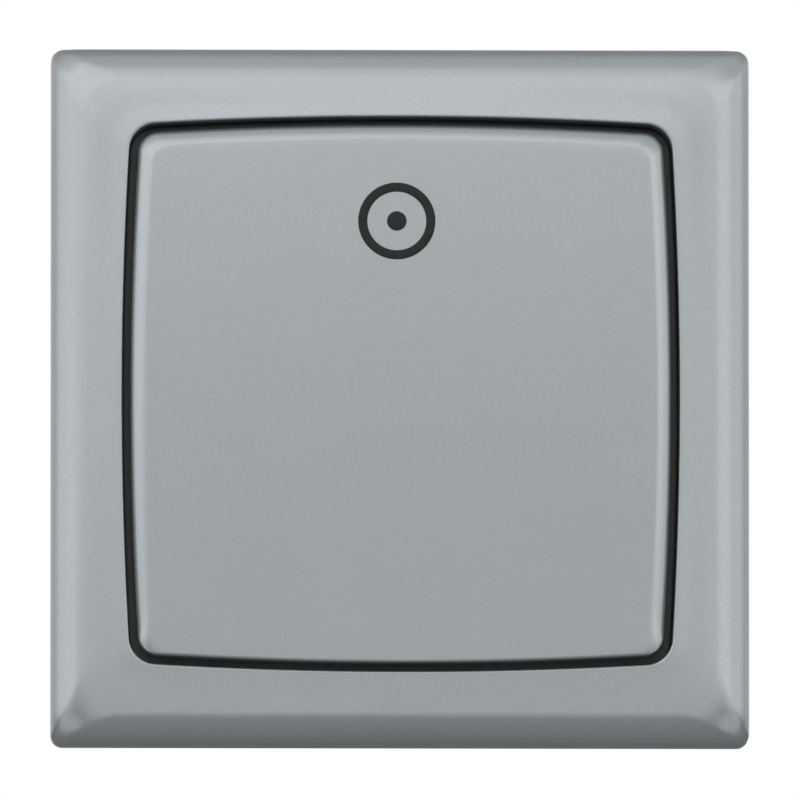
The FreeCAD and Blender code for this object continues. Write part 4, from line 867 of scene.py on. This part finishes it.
# Half of the head beside its slot: each row is an arc from one end of the slot's wall to the other, then the
# chord back along that wall, whose upper edge is bevelled
def screwCrown(shape, floor, top):
    head, bend = shape["headRadius"], shape["crownRound"]
    crown = arc(head - bend, top - bend, bend, 0, shape["crownTurn"], shape["crownSteps"])
    foot, rim = (head, floor - shape["overlap"]), (crown[-1][0] - shape["crownFlat"], top)
    rows = np.concatenate([[foot], crown, [rim]])
    bevel = np.zeros(len(rows))
    bevel[-2:] = shape["slotBevel"], 2 * shape["slotBevel"]
    flat = shape["slotHalf"] + bevel
    start = np.arcsin(flat / rows[:, 0])[:, None]
    sweep = start + (math.pi - 2 * start) * np.linspace(0, 1, shape["sweepSteps"] + 1)[None, :]
    chord = np.linspace(-1, 1, shape["chordSteps"] + 1)[None, 1:-1] * rows[:, :1] * np.cos(start)
    across = np.concatenate([rows[:, :1] * np.cos(sweep), chord], axis=1)
    up = np.concatenate([rows[:, :1] * np.sin(sweep), np.broadcast_to(flat[:, None], chord.shape)], axis=1)
    return across, rows[:, 1:], up


def makeClawScrew(side, hand, shape):
    middle, seat = hand * shape["across"], shape["headSeat"]
    top = seat + shape["headHeight"]
    floor = top - shape["slotDepth"]

    def placed(across, fronts, up):
        across, fronts, up = np.broadcast_arrays(across, fronts, up)
        return np.stack([middle + across, -fronts, up], axis=-1)

    shank, disc = placed(*screwShank(shape)), placed(*screwDisc(shape, floor))
    parts = [closedGrid(shank, (middle, -(seat + shape["overlap"]), 0), (middle, -shape["end"], 0)),
             closedGrid(disc, (middle, -seat, 0), (middle, -floor, 0))]
    across, fronts, up = screwCrown(shape, floor, top)
    for level in (1, -1):
        pole = level * (shape["slotHalf"] + shape["poleUp"])
        half = placed(across, fronts, level * up)
        parts.append(closedGrid(half, (middle, -(floor - shape["overlap"]), pole), (middle, -top, pole)))
    piece = addPiece("clawScrew" + side.capitalize(), parts, f"claw_screw_{side}", "zincSteel")
    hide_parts(f"claw_screw_{side}")
    return piece


for side, hand in (("left", -1), ("right", 1)):
    makeClawScrew(side, hand, screwShape)
print("claw screws made")

# Moulded and stamped pieces whose form comes from the CAD: merged copies with softly broken edges. The widths
# are in millimetres.
brokenEdges = {
    "base_housing": {"body": "root", "slot": "white_plastic", "material": "paleGreyPlastic", "width": 0.14},
    "mechanism_cover": {"body": "root", "slot": "white_plastic", "material": "paleGreyPlastic",
                        "width": 0.10},
    "support_ring": {"body": "root", "slot": "zinc_steel", "material": "zincSteel", "width": 0.08},
    "rocker_carrier": {"body": "rocker", "slot": "carrier_plastic", "material": "carrierPlastic",
                       "width": 0.10},
}
pairedEdges = {
    "claw": {"slot": "zinc_steel", "material": "zincSteel", "width": 0.12},
    "claw_nut": {"slot": "zinc_steel", "material": "zincSteel", "width": 0.18},
    "release_lever": {"slot": "orange_plastic", "material": "orangePlastic", "width": 0.14},
}
for name, values in pairedEdges.items():
    for side in ("left", "right"):
        brokenEdges[f"{name}_{side}"] = {"body": f"{name}_{side}", **values}

# How edges are found and broken: lengths in metres, angles in degrees
edgeBreak = {
    "merge": 0.000002, "flatAngle": 0.5, "sharpAngle": 35, "segments": 2, "creaseAngle": 50, "weight": 100,
}


def breakEdges(name, values):
    source = frame["nodes"][name]
    work = bmesh.new()
    work.from_mesh(source.data)
    bmesh.ops.remove_doubles(work, verts=work.verts, dist=edgeBreak["merge"])
    flat, sharp, crease = (math.radians(edgeBreak[key + "Angle"]) for key in ("flat", "sharp", "crease"))
    bmesh.ops.dissolve_limit(work, angle_limit=flat, verts=work.verts, edges=work.edges)
    edges = [edge for edge in work.edges if len(edge.link_faces) == 2 and edge.calc_face_angle(0) > sharp]
    bmesh.ops.bevel(work, geom=edges, offset=values["width"] * mm, segments=edgeBreak["segments"],
                    profile=0.5, affect="EDGES", clamp_overlap=True)
    bmesh.ops.triangulate(work, faces=[face for face in work.faces if len(face.verts) > 4])
    mesh = bpy.data.meshes.new(name + "Dressed")
    work.to_mesh(mesh)
    work.free()
    mesh.shade_smooth()
    mesh.set_sharp_from_angle(angle=crease)
    mesh.materials.append(materials[values["material"]])
    words = name.split("_")
    piece = bpy.data.objects.new(words[0] + "".join(word.capitalize() for word in words[1:]), mesh)
    bpy.context.scene.collection.objects.link(piece)
    level = piece.modifiers.new("levelFaces", "WEIGHTED_NORMAL")
    level.weight = edgeBreak["weight"]
    level.keep_sharp = True
    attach(piece, values["body"])
    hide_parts(name)
    return piece


for name, values in brokenEdges.items():
    piece = breakEdges(name, values)
    loose = sum(1 for edge in piece.data.edges if edge.is_loose)
    print(piece.name, len(piece.data.polygons), "faces", loose, "loose edges")
print("moulded and stamped pieces dressed")

# Each clamp spring is a merged copy with softly broken edges, and gets a mesh of its own
clampSpring = {"body": "root", "slot": "spring_steel", "material": "springSteel", "width": 0.05}
for side in ("left", "right"):
    strip = breakEdges(f"clamp_spring_{side}", clampSpring)
    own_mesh(strip)

# Finishes of the CAD nodes that stay
slotFinish = {
    "silver_lacquer": "silverLacquerShaded", "carrier_plastic": "carrierPlastic", "brass": "stampedBrass",
    "white_plastic": "paleGreyPlastic", "orange_plastic": "orangePlastic", "silver": "silverTip",
    "zinc_steel": "zincSteel", "spring_steel": "springSteel",
}
for part in frame["record"]["subparts"]:
    node = frame["nodes"].get(part["node"])
    if node is None or node.hide_render:
        continue
    node.data.materials.clear()
    node.data.materials.append(materials[slotFinish[part["material_slot"]]])
print("CAD pieces finished")
